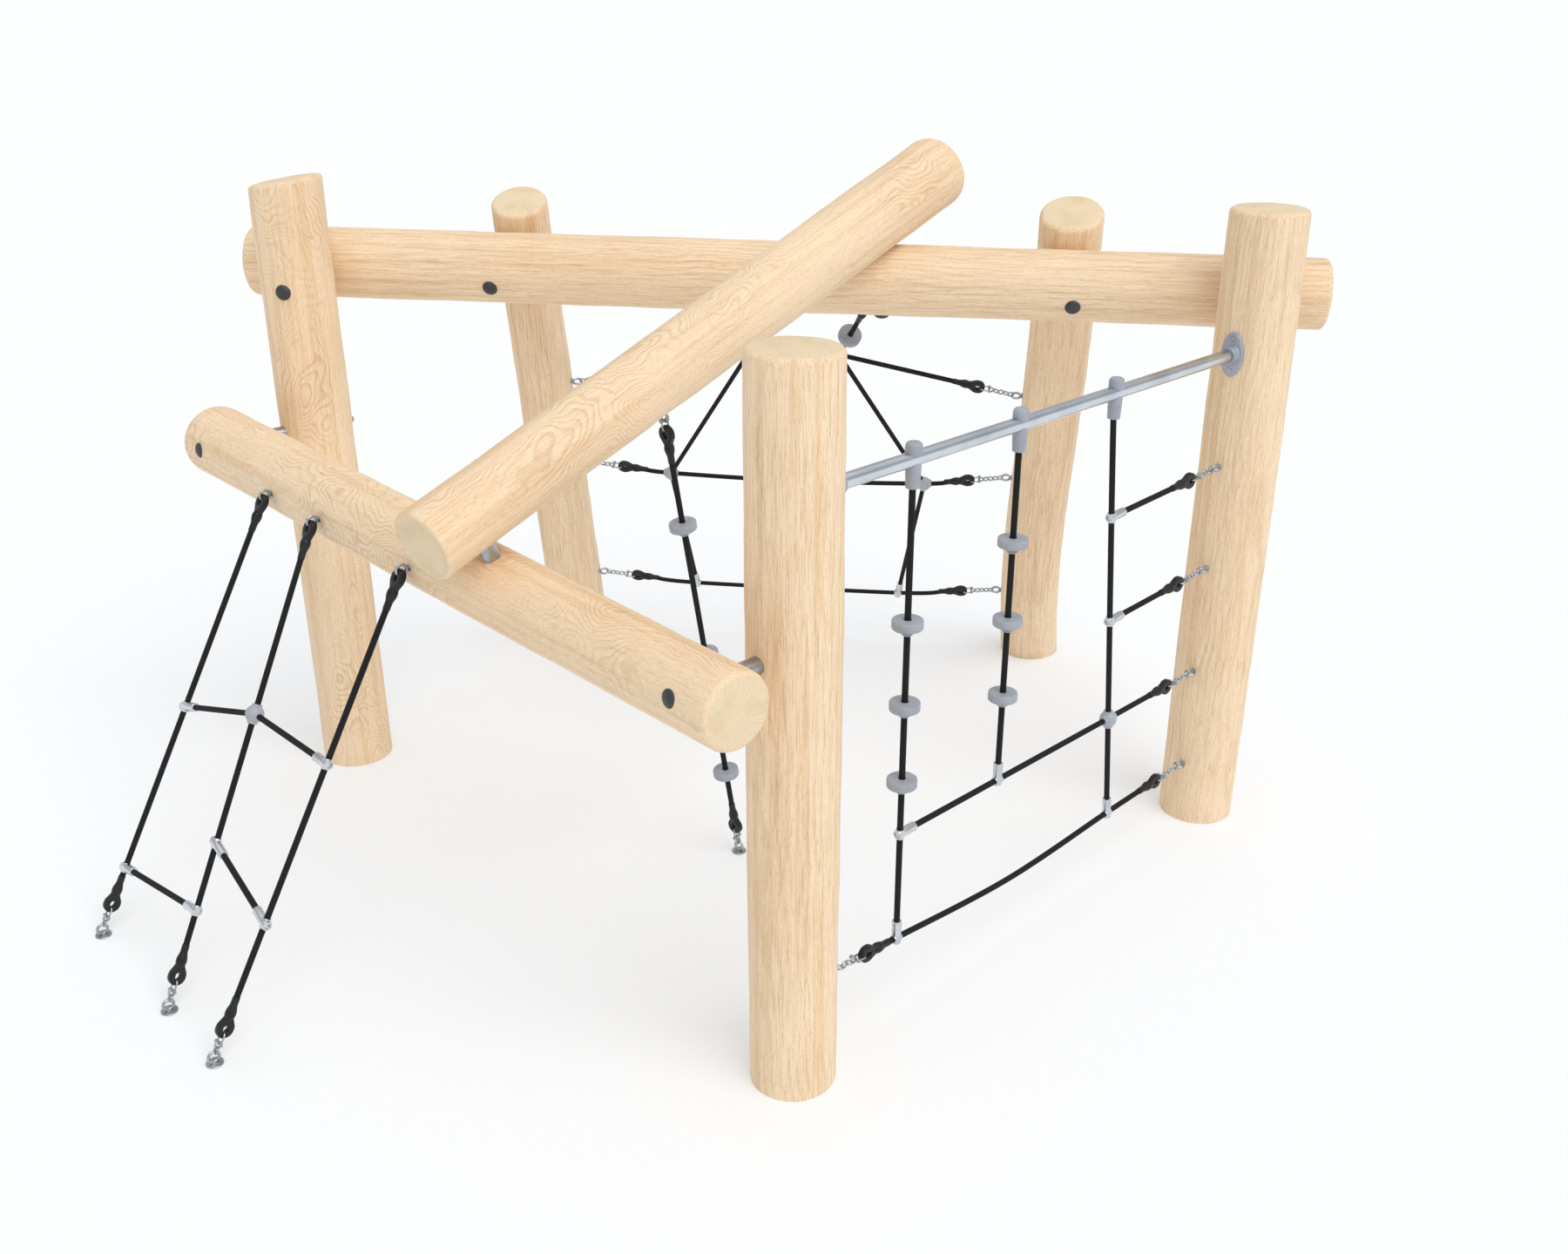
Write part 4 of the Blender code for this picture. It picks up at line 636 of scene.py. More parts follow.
# Rope hangers
# Moulded grey plastic: a cap sits on the pipe and a tapered sleeve below it swallows the end
# of each upright rope.  Both are joined through the pipe by a waist.
UPRIGHTS = (0.372, 0.757, 1.150)
SLEEVE_DROP = 0.068
grey_plastic = plain_finish(
    "grey_moulded_plastic", (0.365, 0.392, 0.448), (0.32, 0.345, 0.40), 0.48, 0.0, 700.0, 0.0003)
hanger_pattern = turn("hanger", [
    (0.0086, -SLEEVE_DROP), (0.0154, -SLEEVE_DROP), (0.0166, -SLEEVE_DROP + 0.0014),
    (0.0186, -0.0170), (0.0184, -0.0130), (0.0160, -0.0090), (0.0160, 0.0060),
    (0.0188, 0.0100), (0.0201, 0.0125), (0.0203, 0.0160), (0.0203, 0.0250), (0.0196, 0.0312),
    (0.0178, 0.0358), (0.0144, 0.0388), (0.0098, 0.0399), (0.0040, 0.0400)], 48)
for number, distance in enumerate(UPRIGHTS, 1):
    seat = on_pipe(distance, PIPE_Z)
    hanger = copied(hanger_pattern, "rope_hanger_%d_body" % number, Matrix.Translation(seat))
    dress(hanger, grey_plastic)
    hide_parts("rope_hanger_%d" % number)
bpy.data.objects.remove(hanger_pattern)

# Rope fittings
# Each rope ends in a black moulded loop.  Galvanised shackles, short welded chains and screw
# eyes tie it to the logs; flat plates with an eye hold it to the ground.
ROPE_RADIUS = 0.008
EYE_HOLE, EYE_WIRE, EYE_STANDOFF = 0.020, 0.004, 0.020
LINK_WIDTH, LINK_LENGTH, SHORT_LINK, LINK_WIRE = 0.010, 0.01572, 0.0129, 0.003
SHACKLE_WIDTH, SHACKLE_LENGTH, SHACKLE_STRAP, SHACKLE_PIN = 0.017, 0.026, 0.005, 0.003
BAR_LENGTH, BAR_RINGS = 0.08, 40
POST_CHAIN, GROUND_CHAIN = 5, 2
RING_BITE = 0.0012
LOOP_WIDTH, LOOP_LENGTH, LOOP_RIM, LOOP_EDGE = 0.017, 0.022, 0.014, 0.004
LOOP_NECK, LOOP_DEPTH, MOULDED_LENGTH = 0.0145, 0.018, 0.095
moulded_black = plain_finish(
    "black_moulded_end", (0.010, 0.011, 0.011), (0.017, 0.018, 0.018), 0.38, 0.0, 800.0,
    0.0002, 0.30)


def arc(radius, start, end, steps, along=0.0):
    """Points on a part of a circle, as (across, along)."""
    angles = [start + (end - start) * step / steps for step in range(steps + 1)]
    return [(cos(angle) * radius, along + sin(angle) * radius) for angle in angles]


def along_path(piece, path, straight_length):
    """Bend a straight piece, turned about Z, so that its axis follows the path's points."""
    reach = [0.0]
    for start, end in zip(path, path[1:]):
        reach.append(reach[-1] + (end - start).length)
    ways = [heading(path[max(index - 1, 0)], path[min(index + 1, len(path) - 1)])
            for index in range(len(path))]
    side = any_side(ways[0])
    sides = []
    for way in ways:
        side = (side - way * side.dot(way)).normalized()
        sides.append(side)
    stretch = reach[-1] / straight_length
    for vertex in piece.data.vertices:
        along = vertex.co.z * stretch
        index = 0
        while index < len(path) - 2 and reach[index + 1] < along:
            index += 1
        share = (along - reach[index]) / (reach[index + 1] - reach[index])
        share = min(max(share, 0.0), 1.0)
        way = ways[index].lerp(ways[index + 1], share).normalized()
        side = sides[index].lerp(sides[index + 1], share)
        side = (side - way * side.dot(way)).normalized()
        centre = path[index].lerp(path[index + 1], share)
        vertex.co = centre + side * vertex.co.x + way.cross(side) * vertex.co.y


def wire_ring(name, hole_width, hole_length, wire):
    """A welded ring in the XZ plane, drawn out along Z from a torus."""
    select_only()
    bpy.ops.mesh.primitive_torus_add(
        major_segments=28, minor_segments=12, minor_radius=wire,
        major_radius=hole_width / 2 + wire, rotation=(pi / 2, 0, 0))
    ring = bpy.context.object
    ring.name = name
    bpy.ops.object.transform_apply(location=False, rotation=True, scale=False)
    for sign in (1, -1):
        for vertex in ring.data.vertices:
            vertex.select = vertex.co.z * sign > 0.0001
        bpy.ops.object.mode_set(mode="EDIT")
        bpy.ops.transform.translate(value=(0, 0, sign * (hole_length - hole_width) / 2))
        bpy.ops.object.mode_set(mode="OBJECT")
    bpy.ops.object.shade_smooth()
    return ring


def eye_pattern(name, foot):
    ring = wire_ring(name, EYE_HOLE, EYE_HOLE, EYE_WIRE)
    ring.data.transform(Matrix.Translation((0.0, 0.0, EYE_STANDOFF)))
    stem = turn(name + "_stem", foot + [
        (EYE_WIRE, 0.0052), (EYE_WIRE * 0.9, EYE_STANDOFF - EYE_HOLE / 2 - EYE_WIRE)], 24)
    return joined(name, [ring, stem])


screw_eye = eye_pattern("screw_eye", [
    (0.0030, -0.045), (EYE_WIRE, -0.040), (EYE_WIRE, -0.0005), (0.0095, -0.0005),
    (0.0102, 0.0004), (0.0102, 0.0020), (0.0092, 0.0030), (0.0060, 0.0036)])
ground_eye = eye_pattern("ground_eye", [
    (0.0010, 0.0), (0.0214, 0.0), (0.0220, 0.0006), (0.0220, 0.0032), (0.0212, 0.0040),
    (0.0095, 0.0042), (0.0070, 0.0046)])
link = wire_ring("link", LINK_WIDTH, LINK_LENGTH, LINK_WIRE)
short_link = wire_ring("short_link", LINK_WIDTH, SHORT_LINK, LINK_WIRE)


def shackle_pattern():
    """A round bar bent to a bow, with flattened ears and a headed pin through them."""
    pin_at = -SHACKLE_LENGTH / 2 - SHACKLE_PIN
    leg = SHACKLE_WIDTH / 2 + SHACKLE_STRAP / 2
    bend_at = (SHACKLE_LENGTH - SHACKLE_WIDTH) / 2
    crossways = Matrix.Rotation(pi / 2, 4, "Y")
    bow = [(leg, pin_at), (leg, (pin_at + bend_at) / 2)] + arc(leg, 0.0, pi, 12, bend_at)
    bow += [(-leg, (pin_at + bend_at) / 2), (-leg, pin_at)]
    bar = turn("shackle_bar", [(SHACKLE_STRAP / 2, BAR_LENGTH * step / BAR_RINGS)
                               for step in range(BAR_RINGS + 1)], 14)
    along_path(bar, [Vector((across, 0.0, along)) for across, along in bow], BAR_LENGTH)
    ears = [turn("shackle_ear", [
        (0.0010, -0.0026), (0.0046, -0.0026), (0.0052, -0.0020), (0.0052, 0.0020),
        (0.0046, 0.0026), (0.0010, 0.0026)], 24,
        place=Matrix.Translation((across, 0.0, pin_at)) @ crossways) for across in (leg, -leg)]
    pin = turn("shackle_pin", [
        (SHACKLE_PIN, -leg - 0.0045), (SHACKLE_PIN, leg + 0.0025), (0.0052, leg + 0.0025),
        (0.0055, leg + 0.0032), (0.0055, leg + 0.0048), (0.0045, leg + 0.0055)], 24,
        place=Matrix.Translation((0.0, 0.0, pin_at)) @ crossways)
    return joined("shackle", [bar, *ears, pin])


def moulded_end_pattern():
    """A flat moulded loop round an oval hole that runs into a round tapering neck."""
    hole = LOOP_WIDTH / 2
    shoulder = LOOP_LENGTH / 2 - hole
    rim = hole + LOOP_RIM - LOOP_EDGE
    inside = hole + LOOP_EDGE * 0.55
    crown = LOOP_LENGTH / 2
    top = [(rim, shoulder * 0.6), (rim * 0.95, shoulder + 0.0055), (rim * 0.78, shoulder + 0.0110),
           (0.0095, crown + 0.0115), (0.0062, crown + 0.020)]
    outer = arc(rim, pi, 2 * pi, 16, -shoulder) + top + [(-x, z) for x, z in reversed(top)]
    inner = arc(inside, 0.0, pi, 10, shoulder) + arc(inside, pi, 2 * pi, 10, -shoulder)
    outline = bpy.data.curves.new("moulded_loop", "CURVE")
    outline.dimensions = "2D"
    outline.fill_mode = "BOTH"
    outline.extrude = LOOP_DEPTH / 2 - LOOP_EDGE
    outline.bevel_depth = LOOP_EDGE
    outline.bevel_resolution = 3
    for points in (outer, inner):
        spline = outline.splines.new("POLY")
        spline.points.add(len(points) - 1)
        for mark, (across, along) in zip(spline.points, points):
            mark.co = (across, along, 0.0, 1.0)
        spline.use_cyclic_u = True
    select_only(put_in("moulded_loop", outline))
    bpy.ops.object.convert(target="MESH")
    loop = bpy.context.object
    edit_whole()
    close_mesh(True)
    loop.data.transform(Matrix.Rotation(pi / 2, 4, "X"))
    mouth_at = MOULDED_LENGTH - crown
    neck = turn("moulded_neck", [
        (0.0060, crown + 0.004), (0.0096, crown + 0.009), (0.0102, crown + 0.014),
        (0.0130, crown + 0.021), (0.0141, crown + 0.027), (LOOP_NECK - 0.0005, crown + 0.032),
        (0.0132, crown + 0.038), (0.0106, crown + 0.047), (0.0096, crown + 0.052),
        (0.0094, mouth_at - 0.001), (0.0083, mouth_at)], 36)
    return joined("moulded_end", [loop, neck])


shackle = shackle_pattern()
moulded_end = moulded_end_pattern()


def rig(name, eye, start, outward, toward, first_side, chain_count, shackled, chain=None):
    """Hook a rope's end up: eye, chain, shackle, moulded end, in line towards a point."""
    metal = [copied(eye, name + "_eye", basis(start, outward, first_side))]
    centre = start + outward * EYE_STANDOFF
    pull = heading(centre, toward)
    side = outward.cross(first_side)
    reach = EYE_HOLE / 2 + RING_BITE
    chain, link_length = chain or (link, LINK_LENGTH)
    for _ in range(chain_count):
        centre = centre + pull * (reach + link_length / 2)
        metal.append(copied(chain, name + "_link", basis(centre, pull, side)))
        reach = link_length / 2 + RING_BITE
        side = pull.cross(side)
    if shackled:
        centre = centre + pull * (reach + SHACKLE_LENGTH / 2)
        metal.append(copied(shackle, name + "_shackle", basis(centre, pull, side)))
        reach = SHACKLE_LENGTH / 2 + RING_BITE
        side = pull.cross(side)
    centre = centre + pull * (reach + LOOP_LENGTH / 2)
    dress(joined(name + "_fittings", metal), galvanised)
    moulded = copied(moulded_end, name + "_moulded_end", basis(centre, pull, side))
    dress(moulded, moulded_black)
    return centre + pull * (LOOP_LENGTH / 2 + MOULDED_LENGTH / 2)


def rig_to_log(name, trunk, share, facing, aim, plane_side, chain_count, shackled):
    along = trunk.direction()
    way = facing - trunk.axis(share)
    outward = (way - along * way.dot(along)).normalized()
    start = trunk.axis(share) + outward * trunk.radius(share)
    first_side = (plane_side - outward * plane_side.dot(outward)).normalized()
    return rig(name, screw_eye, start, outward, aim, first_side, chain_count, shackled)


def rig_to_post(name, trunk, height, toward, plane_side):
    share = trunk.share_at_height(height)
    return rig_to_log(name, trunk, share, toward, toward, plane_side, POST_CHAIN, True)


def rig_to_ground(name, start, aim, first_side):
    chain = (short_link, SHORT_LINK)
    return rig(name, ground_eye, start, UP, aim, first_side, GROUND_CHAIN, True, chain)


# Ropes and connectors
# Black braided rope over a steel core.  Bright pressed sleeves tie one rope's end round
# another, and grey moulded balls clamp the crossings.
STRANDS, BRAID_PITCH = 8, 0.030
ROPE_SIDES, STRAIGHT_RINGS, BEND_STEPS = 20, 4, 8


def braid_finish():
    """Two sets of strands that cross in diamonds round the rope, with loose fibres, and painted
    shade that darkens the grooves between the strands.
    """
    finish, tree, shader = empty_finish("black_braid", (0.010, 0.011, 0.011), 0.70, 0.0, 0.20)
    lay = lay_place(tree)
    apart = node(tree, "SeparateXYZ", {0: lay}).outputs
    bearing = math_on("ARCTAN2", apart[1], apart[0])
    around = math_on("MULTIPLY", bearing, STRANDS / 2)
    along = math_on("MULTIPLY", apart[2], pi * STRANDS / BRAID_PITCH)
    one = math_on("SINE", math_on("ADD", around, along))
    other = math_on("SINE", math_on("SUBTRACT", around, along))
    height = math_on("ABSOLUTE", math_on("MULTIPLY", one, other))
    fibre = stretched_noise(lay, (900.0, 900.0, 260.0))
    # Painted shade: the colour is darker down in the grooves between the strands and lighter on
    # their crests.
    crest_light_groove_shade = eased_step(height, 0.0, 0.6)
    colour = tinted(
        blend_colours(crest_light_groove_shade, (0.006, 0.006, 0.007), (0.020, 0.021, 0.022)),
        (fibre, 0.4, 0.7, (0.55, 0.55, 0.55), 0.7))
    relief = math_on("ADD", height, math_on("MULTIPLY", fibre, 0.3))
    cover(shader, colour, relief, 0.8, 0.0012)
    return finish


black_braid = braid_finish()
aluminium = plain_finish(
    "pressed_aluminium", (0.66, 0.69, 0.72), (0.55, 0.58, 0.61), 0.26, 1.0, 260.0, 0.0003)
ball_plastic = plain_finish(
    "light_grey_plastic", (0.42, 0.445, 0.49), (0.37, 0.395, 0.44), 0.42, 0.0, 700.0, 0.0003)


def smooth_path(points):
    """Points through the given ones, evenly eased at each, as a hanging rope lies."""
    if len(points) == 2:
        return list(points)
    path = []
    for index in range(len(points) - 1):
        before = points[max(index - 1, 0)]
        start, end = points[index], points[index + 1]
        after = points[min(index + 2, len(points) - 1)]
        for step in range(BEND_STEPS):
            t = step / BEND_STEPS
            path.append(0.5 * (
                2 * start + (end - before) * t
                + (2 * before - 5 * start + 4 * end - after) * t * t
                + (3 * start - before - 3 * end + after) * t ** 3))
    return path + [points[-1]]


def lay_rope(stands_for, points, name=None):
    """One braided rope through its points, in the place of the named CAD rope."""
    path = smooth_path(points)
    straight = len(path) == 2
    length = sum((end - start).length for start, end in zip(path, path[1:]))
    rings = STRAIGHT_RINGS if straight else 2 * len(path)
    rope = turn(name or stands_for + "_rope",
                [(ROPE_RADIUS, length * step / rings) for step in range(rings + 1)], ROPE_SIDES)
    keep_lay(rope)
    if straight:
        rope.data.transform(basis(path[0], path[1] - path[0]))
    else:
        along_path(rope, path, length)
    dress(rope, black_braid)
    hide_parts(stands_for)


SLEEVE_RADIUS, SLEEVE_NECK, SLEEVE_WALL = 0.0125, 0.040, 0.0045
BALL_RADIUS, BALL_WAIST = 0.0245, 0.0012


def tie_sleeve(name, before, tie, after, branch):
    """A pressed sleeve on a rope's end; the rope that it ties to runs across through it."""
    tied_way = heading(before, tie).lerp(heading(tie, after), 0.5).normalized()
    lean = tied_way.angle(branch)
    clear = ROPE_RADIUS / sin(lean) + SLEEVE_RADIUS * abs(cos(lean)) / sin(lean) + SLEEVE_WALL
    top = clear + SLEEVE_NECK
    sleeve = turn(name, [
        (0.0010, -clear + 0.0070), (0.0068, -clear + 0.0070), (0.0072, -clear),
        (0.0108, -clear), (0.0120, -clear + 0.0005), (SLEEVE_RADIUS, -clear + 0.0018),
        (SLEEVE_RADIUS, clear), (SLEEVE_RADIUS, top - 0.0020), (0.0121, top - 0.0006),
        (0.0112, top), (0.0083, top)], 36, place=basis(tie, branch))
    lip = turn(name + "_lip", [
        (0.0085, -SLEEVE_RADIUS - 0.0010), (0.0104, -SLEEVE_RADIUS - 0.0010),
        (0.0114, -SLEEVE_RADIUS + 0.0010), (0.0114, SLEEVE_RADIUS - 0.0010),
        (0.0104, SLEEVE_RADIUS + 0.0010), (0.0085, SLEEVE_RADIUS + 0.0010),
        (0.0085, -SLEEVE_RADIUS - 0.0010)], 32, True, basis(tie, tied_way))
    dress(joined(name, [sleeve, lip]), aluminium)
    return tie + branch * (clear + SLEEVE_NECK / 3)


def clamp_ball(name, centre, ropes):
    """A ball in two moulded halves, with a waist where they meet and a collar per rope."""
    half = arc(BALL_RADIUS, pi / 24, 11 * pi / 24, 10)
    profile = [(across, -along) for across, along in reversed(half)]
    profile += [(BALL_RADIUS - 0.0002, -0.0008), (BALL_RADIUS - BALL_WAIST, 0.0),
                (BALL_RADIUS - 0.0002, 0.0008)]
    way = heading(centre, ropes[0])
    halves_way = way.cross(any_side(way))
    ball = turn(name, profile + half, 48, place=basis(centre, halves_way, way))
    collars = [turn(name + "_collar", [
        (0.0135, 0.0175), (0.0135, 0.0250), (0.0128, 0.0262), (0.0115, 0.0266),
        (0.0086, 0.0266)], 32, place=basis(centre, heading(centre, toward)))
        for toward in ropes]
    dress(joined(name, [ball, *collars]), ball_plastic)


# Right net
# It hangs in the plane under the pipe: three uprights, a mid rope in two parts, a bottom rope
# that sags between its sleeves, and two short ropes to the right post.
ROPE_IN_HANGER, SLEEVE_MOUTH = 0.0297, 0.003
THIRD_FOOT, FOOT_HEIGHTS, BOTTOM_SAG = 1.304, (0.214, 0.193), 0.026
BOTTOM_EYES, MID_HEIGHTS = (0.234, 0.202), (0.527, 0.522)
SHORT_TIES, SHORT_EYE_RISE = (("upper", 1.154), ("lower", 0.8405)), 0.018
net_normal = pipe_way.cross(UP)
tops = [on_pipe(distance, PIPE_Z + ROPE_IN_HANGER) for distance in UPRIGHTS]
one_foot = on_pipe(UPRIGHTS[0], FOOT_HEIGHTS[0])
three_foot = on_pipe(THIRD_FOOT, FOOT_HEIGHTS[1])
bottom_middle = one_foot.lerp(three_foot, 0.5) - UP * BOTTOM_SAG
bottom_start = rig_to_post("right_net_bottom_a", front, BOTTOM_EYES[0], one_foot, net_normal)
bottom_end = rig_to_post("right_net_bottom_b", right, BOTTOM_EYES[1], three_foot, net_normal)
lay_rope("right_net_bottom", [bottom_start, one_foot, bottom_middle, three_foot, bottom_end])

one_mid = on_pipe(UPRIGHTS[0], MID_HEIGHTS[0])
three_mouth = on_pipe(UPRIGHTS[2], PIPE_Z - SLEEVE_DROP - SLEEVE_MOUTH)


def on_third_upright(height):
    fall = (three_mouth.z - height) / (three_mouth.z - three_foot.z)
    return three_mouth.lerp(three_foot, fall)


knot = on_third_upright(MID_HEIGHTS[1])
knot_distance = (knot - front.foot).xy.length
two_mid = one_mid.lerp(knot, (UPRIGHTS[1] - UPRIGHTS[0]) / (knot_distance - UPRIGHTS[0]))

foot_end = tie_sleeve("right_net_sleeve_1", bottom_start, one_foot, bottom_middle, UP)
lay_rope("right_net_upright_1", [tops[0], foot_end])
foot_end = tie_sleeve("right_net_sleeve_2", one_mid, two_mid, knot, UP)
lay_rope("right_net_upright_2", [tops[1], foot_end])
foot_end = tie_sleeve(
    "right_net_sleeve_3", bottom_middle, three_foot, bottom_end, heading(three_foot, knot))
lay_rope("right_net_upright_3", [tops[2], three_mouth, knot, foot_end])
mid_end = rig_to_post("right_net_mid_far", right, MID_HEIGHTS[1], knot, net_normal)
clamp_ball("right_net_ball", knot, [one_mid, mid_end, three_mouth, three_foot])
sleeve_end = tie_sleeve("right_net_sleeve_4", tops[0], one_mid, one_foot, heading(one_mid, knot))
lay_rope("right_net_mid_near", [knot, sleeve_end])
lay_rope("right_net_mid_far", [knot, mid_end])
for word, height in SHORT_TIES:
    name = "right_net_short_" + word
    tie = on_third_upright(height)
    far_end = rig_to_post(name, right, height + SHORT_EYE_RISE, tie, net_normal)
    sleeve_end = tie_sleeve(name + "_sleeve", three_mouth, tie, knot, heading(tie, far_end))
    lay_rope(name, [sleeve_end, far_end])

# Back net
# It lies in the slanting plane of the leaning posts: three level ropes, two side ropes and
# two hangers up to screw eyes under the top beam.
TOP_KNOTS, TOP_KNOT_Z, TOP_EYE_Z = (0.415, 0.588), 1.297, 1.163
MID_BALLS, MID_BALL_Z, MID_EYE_Z, MID_SAG = (0.242, 0.767), 0.780, 0.823, 0.010
LOW_TIES, LOW_TIE_Z, LOW_EYE_Z = (0.278, 0.719), 0.250, 0.293
HANGER_SPREAD = 0.120
back_posts = (back_left, back_right)
back_normal = top_beam.direction().cross(back_right.direction())
hands = ("left", "right")


def in_back_net(shares, height):
    """Points at one height, each at its share of the way from the left post to the right."""
    at_left, at_right = [post.axis(post.share_at_height(height)) for post in back_posts]
    return [at_left.lerp(at_right, share) for share in shares]


def back_ends(level, height, knots):
    """The two ends of a level rope's outer parts, hooked to both posts at one height."""
    return [rig_to_post("back_net_%s_%s" % (level, hand), post, height, knot, back_normal)
            for hand, post, knot in zip(hands, back_posts, knots)]


top_knots = in_back_net(TOP_KNOTS, TOP_KNOT_Z)
mid_knots = in_back_net(MID_BALLS, MID_BALL_Z)
low_ties = in_back_net(LOW_TIES, LOW_TIE_Z)
low_ends = back_ends("low", LOW_EYE_Z, low_ties)
lay_rope("back_net_low", [low_ends[0], *low_ties, low_ends[1]])
mid_ends = back_ends("mid", MID_EYE_Z, mid_knots)
mid_low = mid_knots[0].lerp(mid_knots[1], 0.5) - UP * MID_SAG
lay_rope("back_net_mid", [mid_ends[0], mid_knots[0], mid_low, mid_knots[1], mid_ends[1]])
lay_rope("back_net_top_middle", top_knots)
for index, hand in enumerate(hands):
    top_knot, mid_knot, tie = top_knots[index], mid_knots[index], low_ties[index]
    top_end = rig_to_post(
        "back_net_top_" + hand, back_posts[index], TOP_EYE_Z, top_knot, back_normal)
    lay_rope("back_net_top_" + hand, [top_knot, top_end])
    lay_rope("back_net_side_upper_" + hand, [mid_knot, top_knot])
    sleeve_end = tie_sleeve("back_net_sleeve_" + hand, low_ends[index], tie,
                            low_ties[1 - index], heading(tie, mid_knot))
    lay_rope("back_net_side_lower_" + hand, [mid_knot, sleeve_end])
    clamp_ball("back_net_mid_ball_" + hand, mid_knot, [top_knot, tie, mid_ends[index], mid_low])
    eye_x = top_knot.x + (2 * index - 1) * HANGER_SPREAD
    hanger_end = rig_to_log(
        "back_net_hanger_" + hand, top_beam, top_beam.share_at_x(eye_x), top_knot, top_knot,
        top_beam.direction(), 0, True)
    lay_rope("back_net_hanger_" + hand, [top_knot, hanger_end])
    clamp_ball("back_net_top_ball_" + hand, top_knot,
               [top_end, top_knots[1 - index], mid_knot, hanger_end])

# Left net
# Three long ropes slope from eyes in the low beam's face to ground plates, tied together by
# four short cross ropes.
NET_REACH = 0.778
LONG_TOPS, LONG_FEET = (1.745, 1.470, 1.010), (1.722, 1.268, 0.991)
BEAM_PAST_FRONT = 0.113
BALL_HEIGHT = 0.690
# The long rope's number and the tie's height, for the cross ropes from the ball.
UPPER_TIES = (("left", 0, 0.600), ("right", 2, 0.697))
# The same at both ends of the other cross ropes.
CROSS_TIES = (("middle", (1, 0.390), (2, 0.330)), ("lower", (0, 0.182), (1, 0.236)))
beam_way = low_beam.direction()
front_mark = low_beam.foot + beam_way * BEAM_PAST_FRONT
out_of_frame = UP.cross(heading(front.foot, left.foot))
long_runs = []
for number, (top_run, foot_run) in enumerate(zip(LONG_TOPS, LONG_FEET), 1):
    name = "left_net_long_%d" % number
    share = (BEAM_PAST_FRONT + top_run) / low_beam.length()
    ring_at = low_beam.axis(share) + out_of_frame * (low_beam.radius(share) + EYE_STANDOFF)
    ground = front_mark + beam_way * foot_run + out_of_frame * NET_REACH
    ground.z = 0.0
    top_end = rig_to_log(
        name + "_top", low_beam, share, ring_at, ground + UP * EYE_STANDOFF, UP, 0, False)
    foot_end = rig_to_ground(name + "_foot", ground, ring_at, out_of_frame)
    lay_rope(name, [top_end, foot_end])
    long_runs.append((top_end, foot_end))


def on_long_rope(number, height):
    top_end, foot_end = long_runs[number]
    return top_end.lerp(foot_end, (top_end.z - height) / (top_end.z - foot_end.z))


def tie_to_long_rope(name, number, height, toward):
    top_end, foot_end = long_runs[number]
    tie = on_long_rope(number, height)
    return tie_sleeve(name, top_end, tie, foot_end, heading(tie, toward))


left_knot = on_long_rope(1, BALL_HEIGHT)
upper_ties = [on_long_rope(number, height) for word, number, height in UPPER_TIES]
clamp_ball("left_net_ball", left_knot, [*upper_ties, *long_runs[1]])
for word, number, height in UPPER_TIES:
    name = "left_net_cross_upper_" + word
    end = tie_to_long_rope(name + "_sleeve", number, height, left_knot)
    lay_rope(name, [left_knot, end])
for word, first, last in CROSS_TIES:
    name = "left_net_cross_" + word
    first_end = tie_to_long_rope(name + "_sleeve_a", *first, on_long_rope(*last))
    last_end = tie_to_long_rope(name + "_sleeve_b", *last, on_long_rope(*first))
    lay_rope(name, [first_end, last_end])

# Inner rope
# One rope with three discs runs from an eye under the sloping beam to a ground plate inside
# the frame.
INNER_SHARE = 0.376
inner_foot = Vector((0.0487, -0.2168, 0.0))
inner_side = sloping.direction().cross(UP).normalized()
inner_top = rig_to_log(
    "inner_rope_top", sloping, INNER_SHARE, sloping.axis(INNER_SHARE) - UP,
    inner_foot + UP * EYE_STANDOFF, inner_side, 0, True)
inner_bottom = rig_to_ground("inner_rope_foot", inner_foot, inner_top, inner_side)
lay_rope("inner_disc_rope", [inner_top, inner_bottom], "inner_rope")
for pattern in (screw_eye, ground_eye, link, short_link, shackle, moulded_end):
    bpy.data.objects.remove(pattern)

# Climbing discs
# Round moulded steps like thick coins with rounded rims.  Each turns freely on its rope and
# rests on a grooved grey ferrule that is crimped to the rope.
DISC_RADIUS, DISC_THICKNESS, DISC_BORE = 0.038, 0.023, 0.0090
FERRULE_RADIUS, FERRULE_LENGTH, FERRULE_PLAY = 0.0135, 0.016, 0.0003
disc_pattern = turn("disc", [
    (DISC_BORE, 0.0), (0.0340, 0.0), (0.0358, 0.0004), (0.0372, 0.0014), (0.0379, 0.0030),
    (DISC_RADIUS, 0.0050), (DISC_RADIUS, 0.0180), (0.0379, 0.0200), (0.0372, 0.0216),
    (0.0358, 0.0226), (0.0340, DISC_THICKNESS), (0.0225, 0.0226), (0.0195, 0.0226),
    (0.0165, DISC_THICKNESS), (0.0100, DISC_THICKNESS), (DISC_BORE, 0.0222),
    (DISC_BORE, 0.0)], 56, True)
ferrule_pattern = turn("ferrule", [
    (0.0081, 0.0), (0.0125, 0.0), (FERRULE_RADIUS, 0.0012), (FERRULE_RADIUS, 0.0048),
    (0.0124, 0.0062), (0.0124, 0.0098), (FERRULE_RADIUS, 0.0112), (FERRULE_RADIUS, 0.0148),
    (0.0125, FERRULE_LENGTH), (0.0081, FERRULE_LENGTH), (0.0081, 0.0)], 36, True)
for joint in frame["joints"]:
    name, seat, rope_up = joint["child"], Vector(joint["pos_m"]), Vector(joint["axis"])
    disc = copied(disc_pattern, name + "_body", basis(seat, rope_up))
    dress(disc, grey_plastic, name)
    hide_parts(name)
    foot = seat - rope_up * (FERRULE_LENGTH + FERRULE_PLAY)
    ferrule = copied(ferrule_pattern, name + "_ferrule", basis(foot, rope_up))
    dress(ferrule, grey_plastic)
for pattern in (disc_pattern, ferrule_pattern):
    bpy.data.objects.remove(pattern)

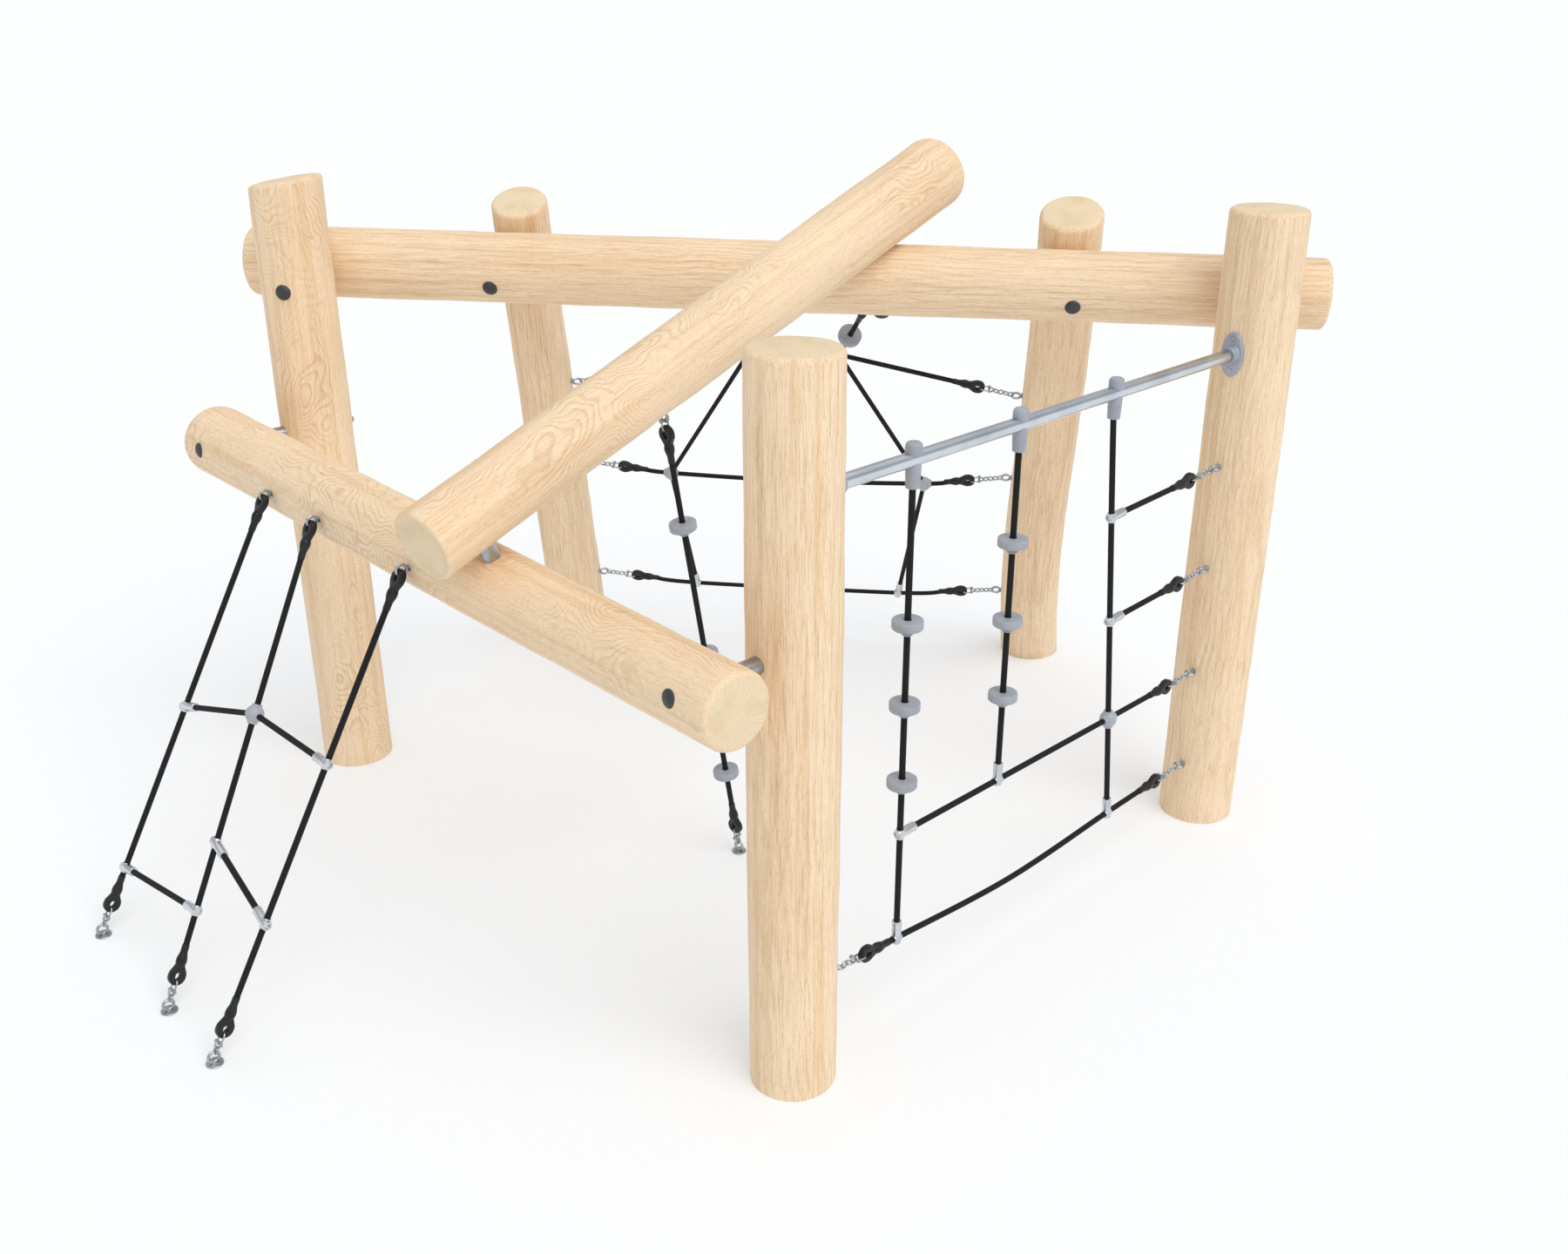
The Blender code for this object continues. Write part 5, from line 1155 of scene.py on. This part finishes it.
# Floor, light and camera
# A plain pale floor without an edge, a soft sky and one soft high lamp from the right.  The
# backdrop is white to eye height, with a grey band above it that gives the metal its shade.
select_only()
bpy.ops.mesh.primitive_plane_add(size=600.0, location=(0, 0, -0.0005))
floor = bpy.context.object
floor.name = "floor"
floor_finish, tree, shader = empty_finish(
    "pale_floor", (0.72, 0.735, 0.755), 0.9, 0.0, 0.0)
plug(shader, {"Emission Strength": 0.235, "Emission Color": (0.985, 0.995, 1.0, 1.0)})
floor.data.materials.append(floor_finish)

sky = bpy.data.worlds.new("studio")
bpy.context.scene.world = sky
sky.use_nodes = True
tree = sky.node_tree
direction = node(tree, "TexCoord").outputs["Generated"]
rise = node(tree, "SeparateXYZ", {0: direction}).outputs[2]
brightness = blend_colours(
    eased_step(rise, -0.05, 0.65), (0.50, 0.525, 0.56), (0.97, 0.985, 1.0))
light = tree.nodes["Background"]
plug(light, {"Color": brightness, "Strength": 0.80})
band = math_on("SUBTRACT", eased_step(rise, 0.10, 0.30), eased_step(rise, 0.50, 0.85))
backdrop = node(tree, "Background", {
    "Color": blend_colours(band, (1.0, 1.0, 1.0), (0.48, 0.505, 0.54))})
rays = node(tree, "LightPath").outputs
seen = math_on("MAXIMUM", rays["Is Camera Ray"], rays["Is Glossy Ray"])
seen = math_on("MAXIMUM", seen, rays["Is Transmission Ray"])
chosen = node(tree, "MixShader", {0: seen, 1: light.outputs[0], 2: backdrop.outputs[0]})
plug(tree.nodes["World Output"], {"Surface": chosen.outputs[0]})

lamp_data = bpy.data.lights.new("high_lamp", "SUN")
lamp_data.energy = 1.30
lamp_data.angle = radians(50)
lamp_data.color = (1.0, 0.975, 0.94)
lamp = put_in("high_lamp", lamp_data)
lamp.rotation_euler = (radians(38), radians(14), radians(28))

CAMERA_PLACE = (0.7087, -4.1478, 2.55)
CAMERA_DOWN, CAMERA_LEFT = 24.26, 7.545
camera_data = bpy.data.cameras.new("camera")
camera_data.lens = 35.0
camera_data.sensor_width = 36.0
camera = put_in("camera", camera_data)
camera.location = CAMERA_PLACE
camera.rotation_euler = (radians(90 - CAMERA_DOWN), 0.0, radians(CAMERA_LEFT))
bpy.context.scene.camera = camera
bpy.context.scene.view_settings.view_transform = "Standard"
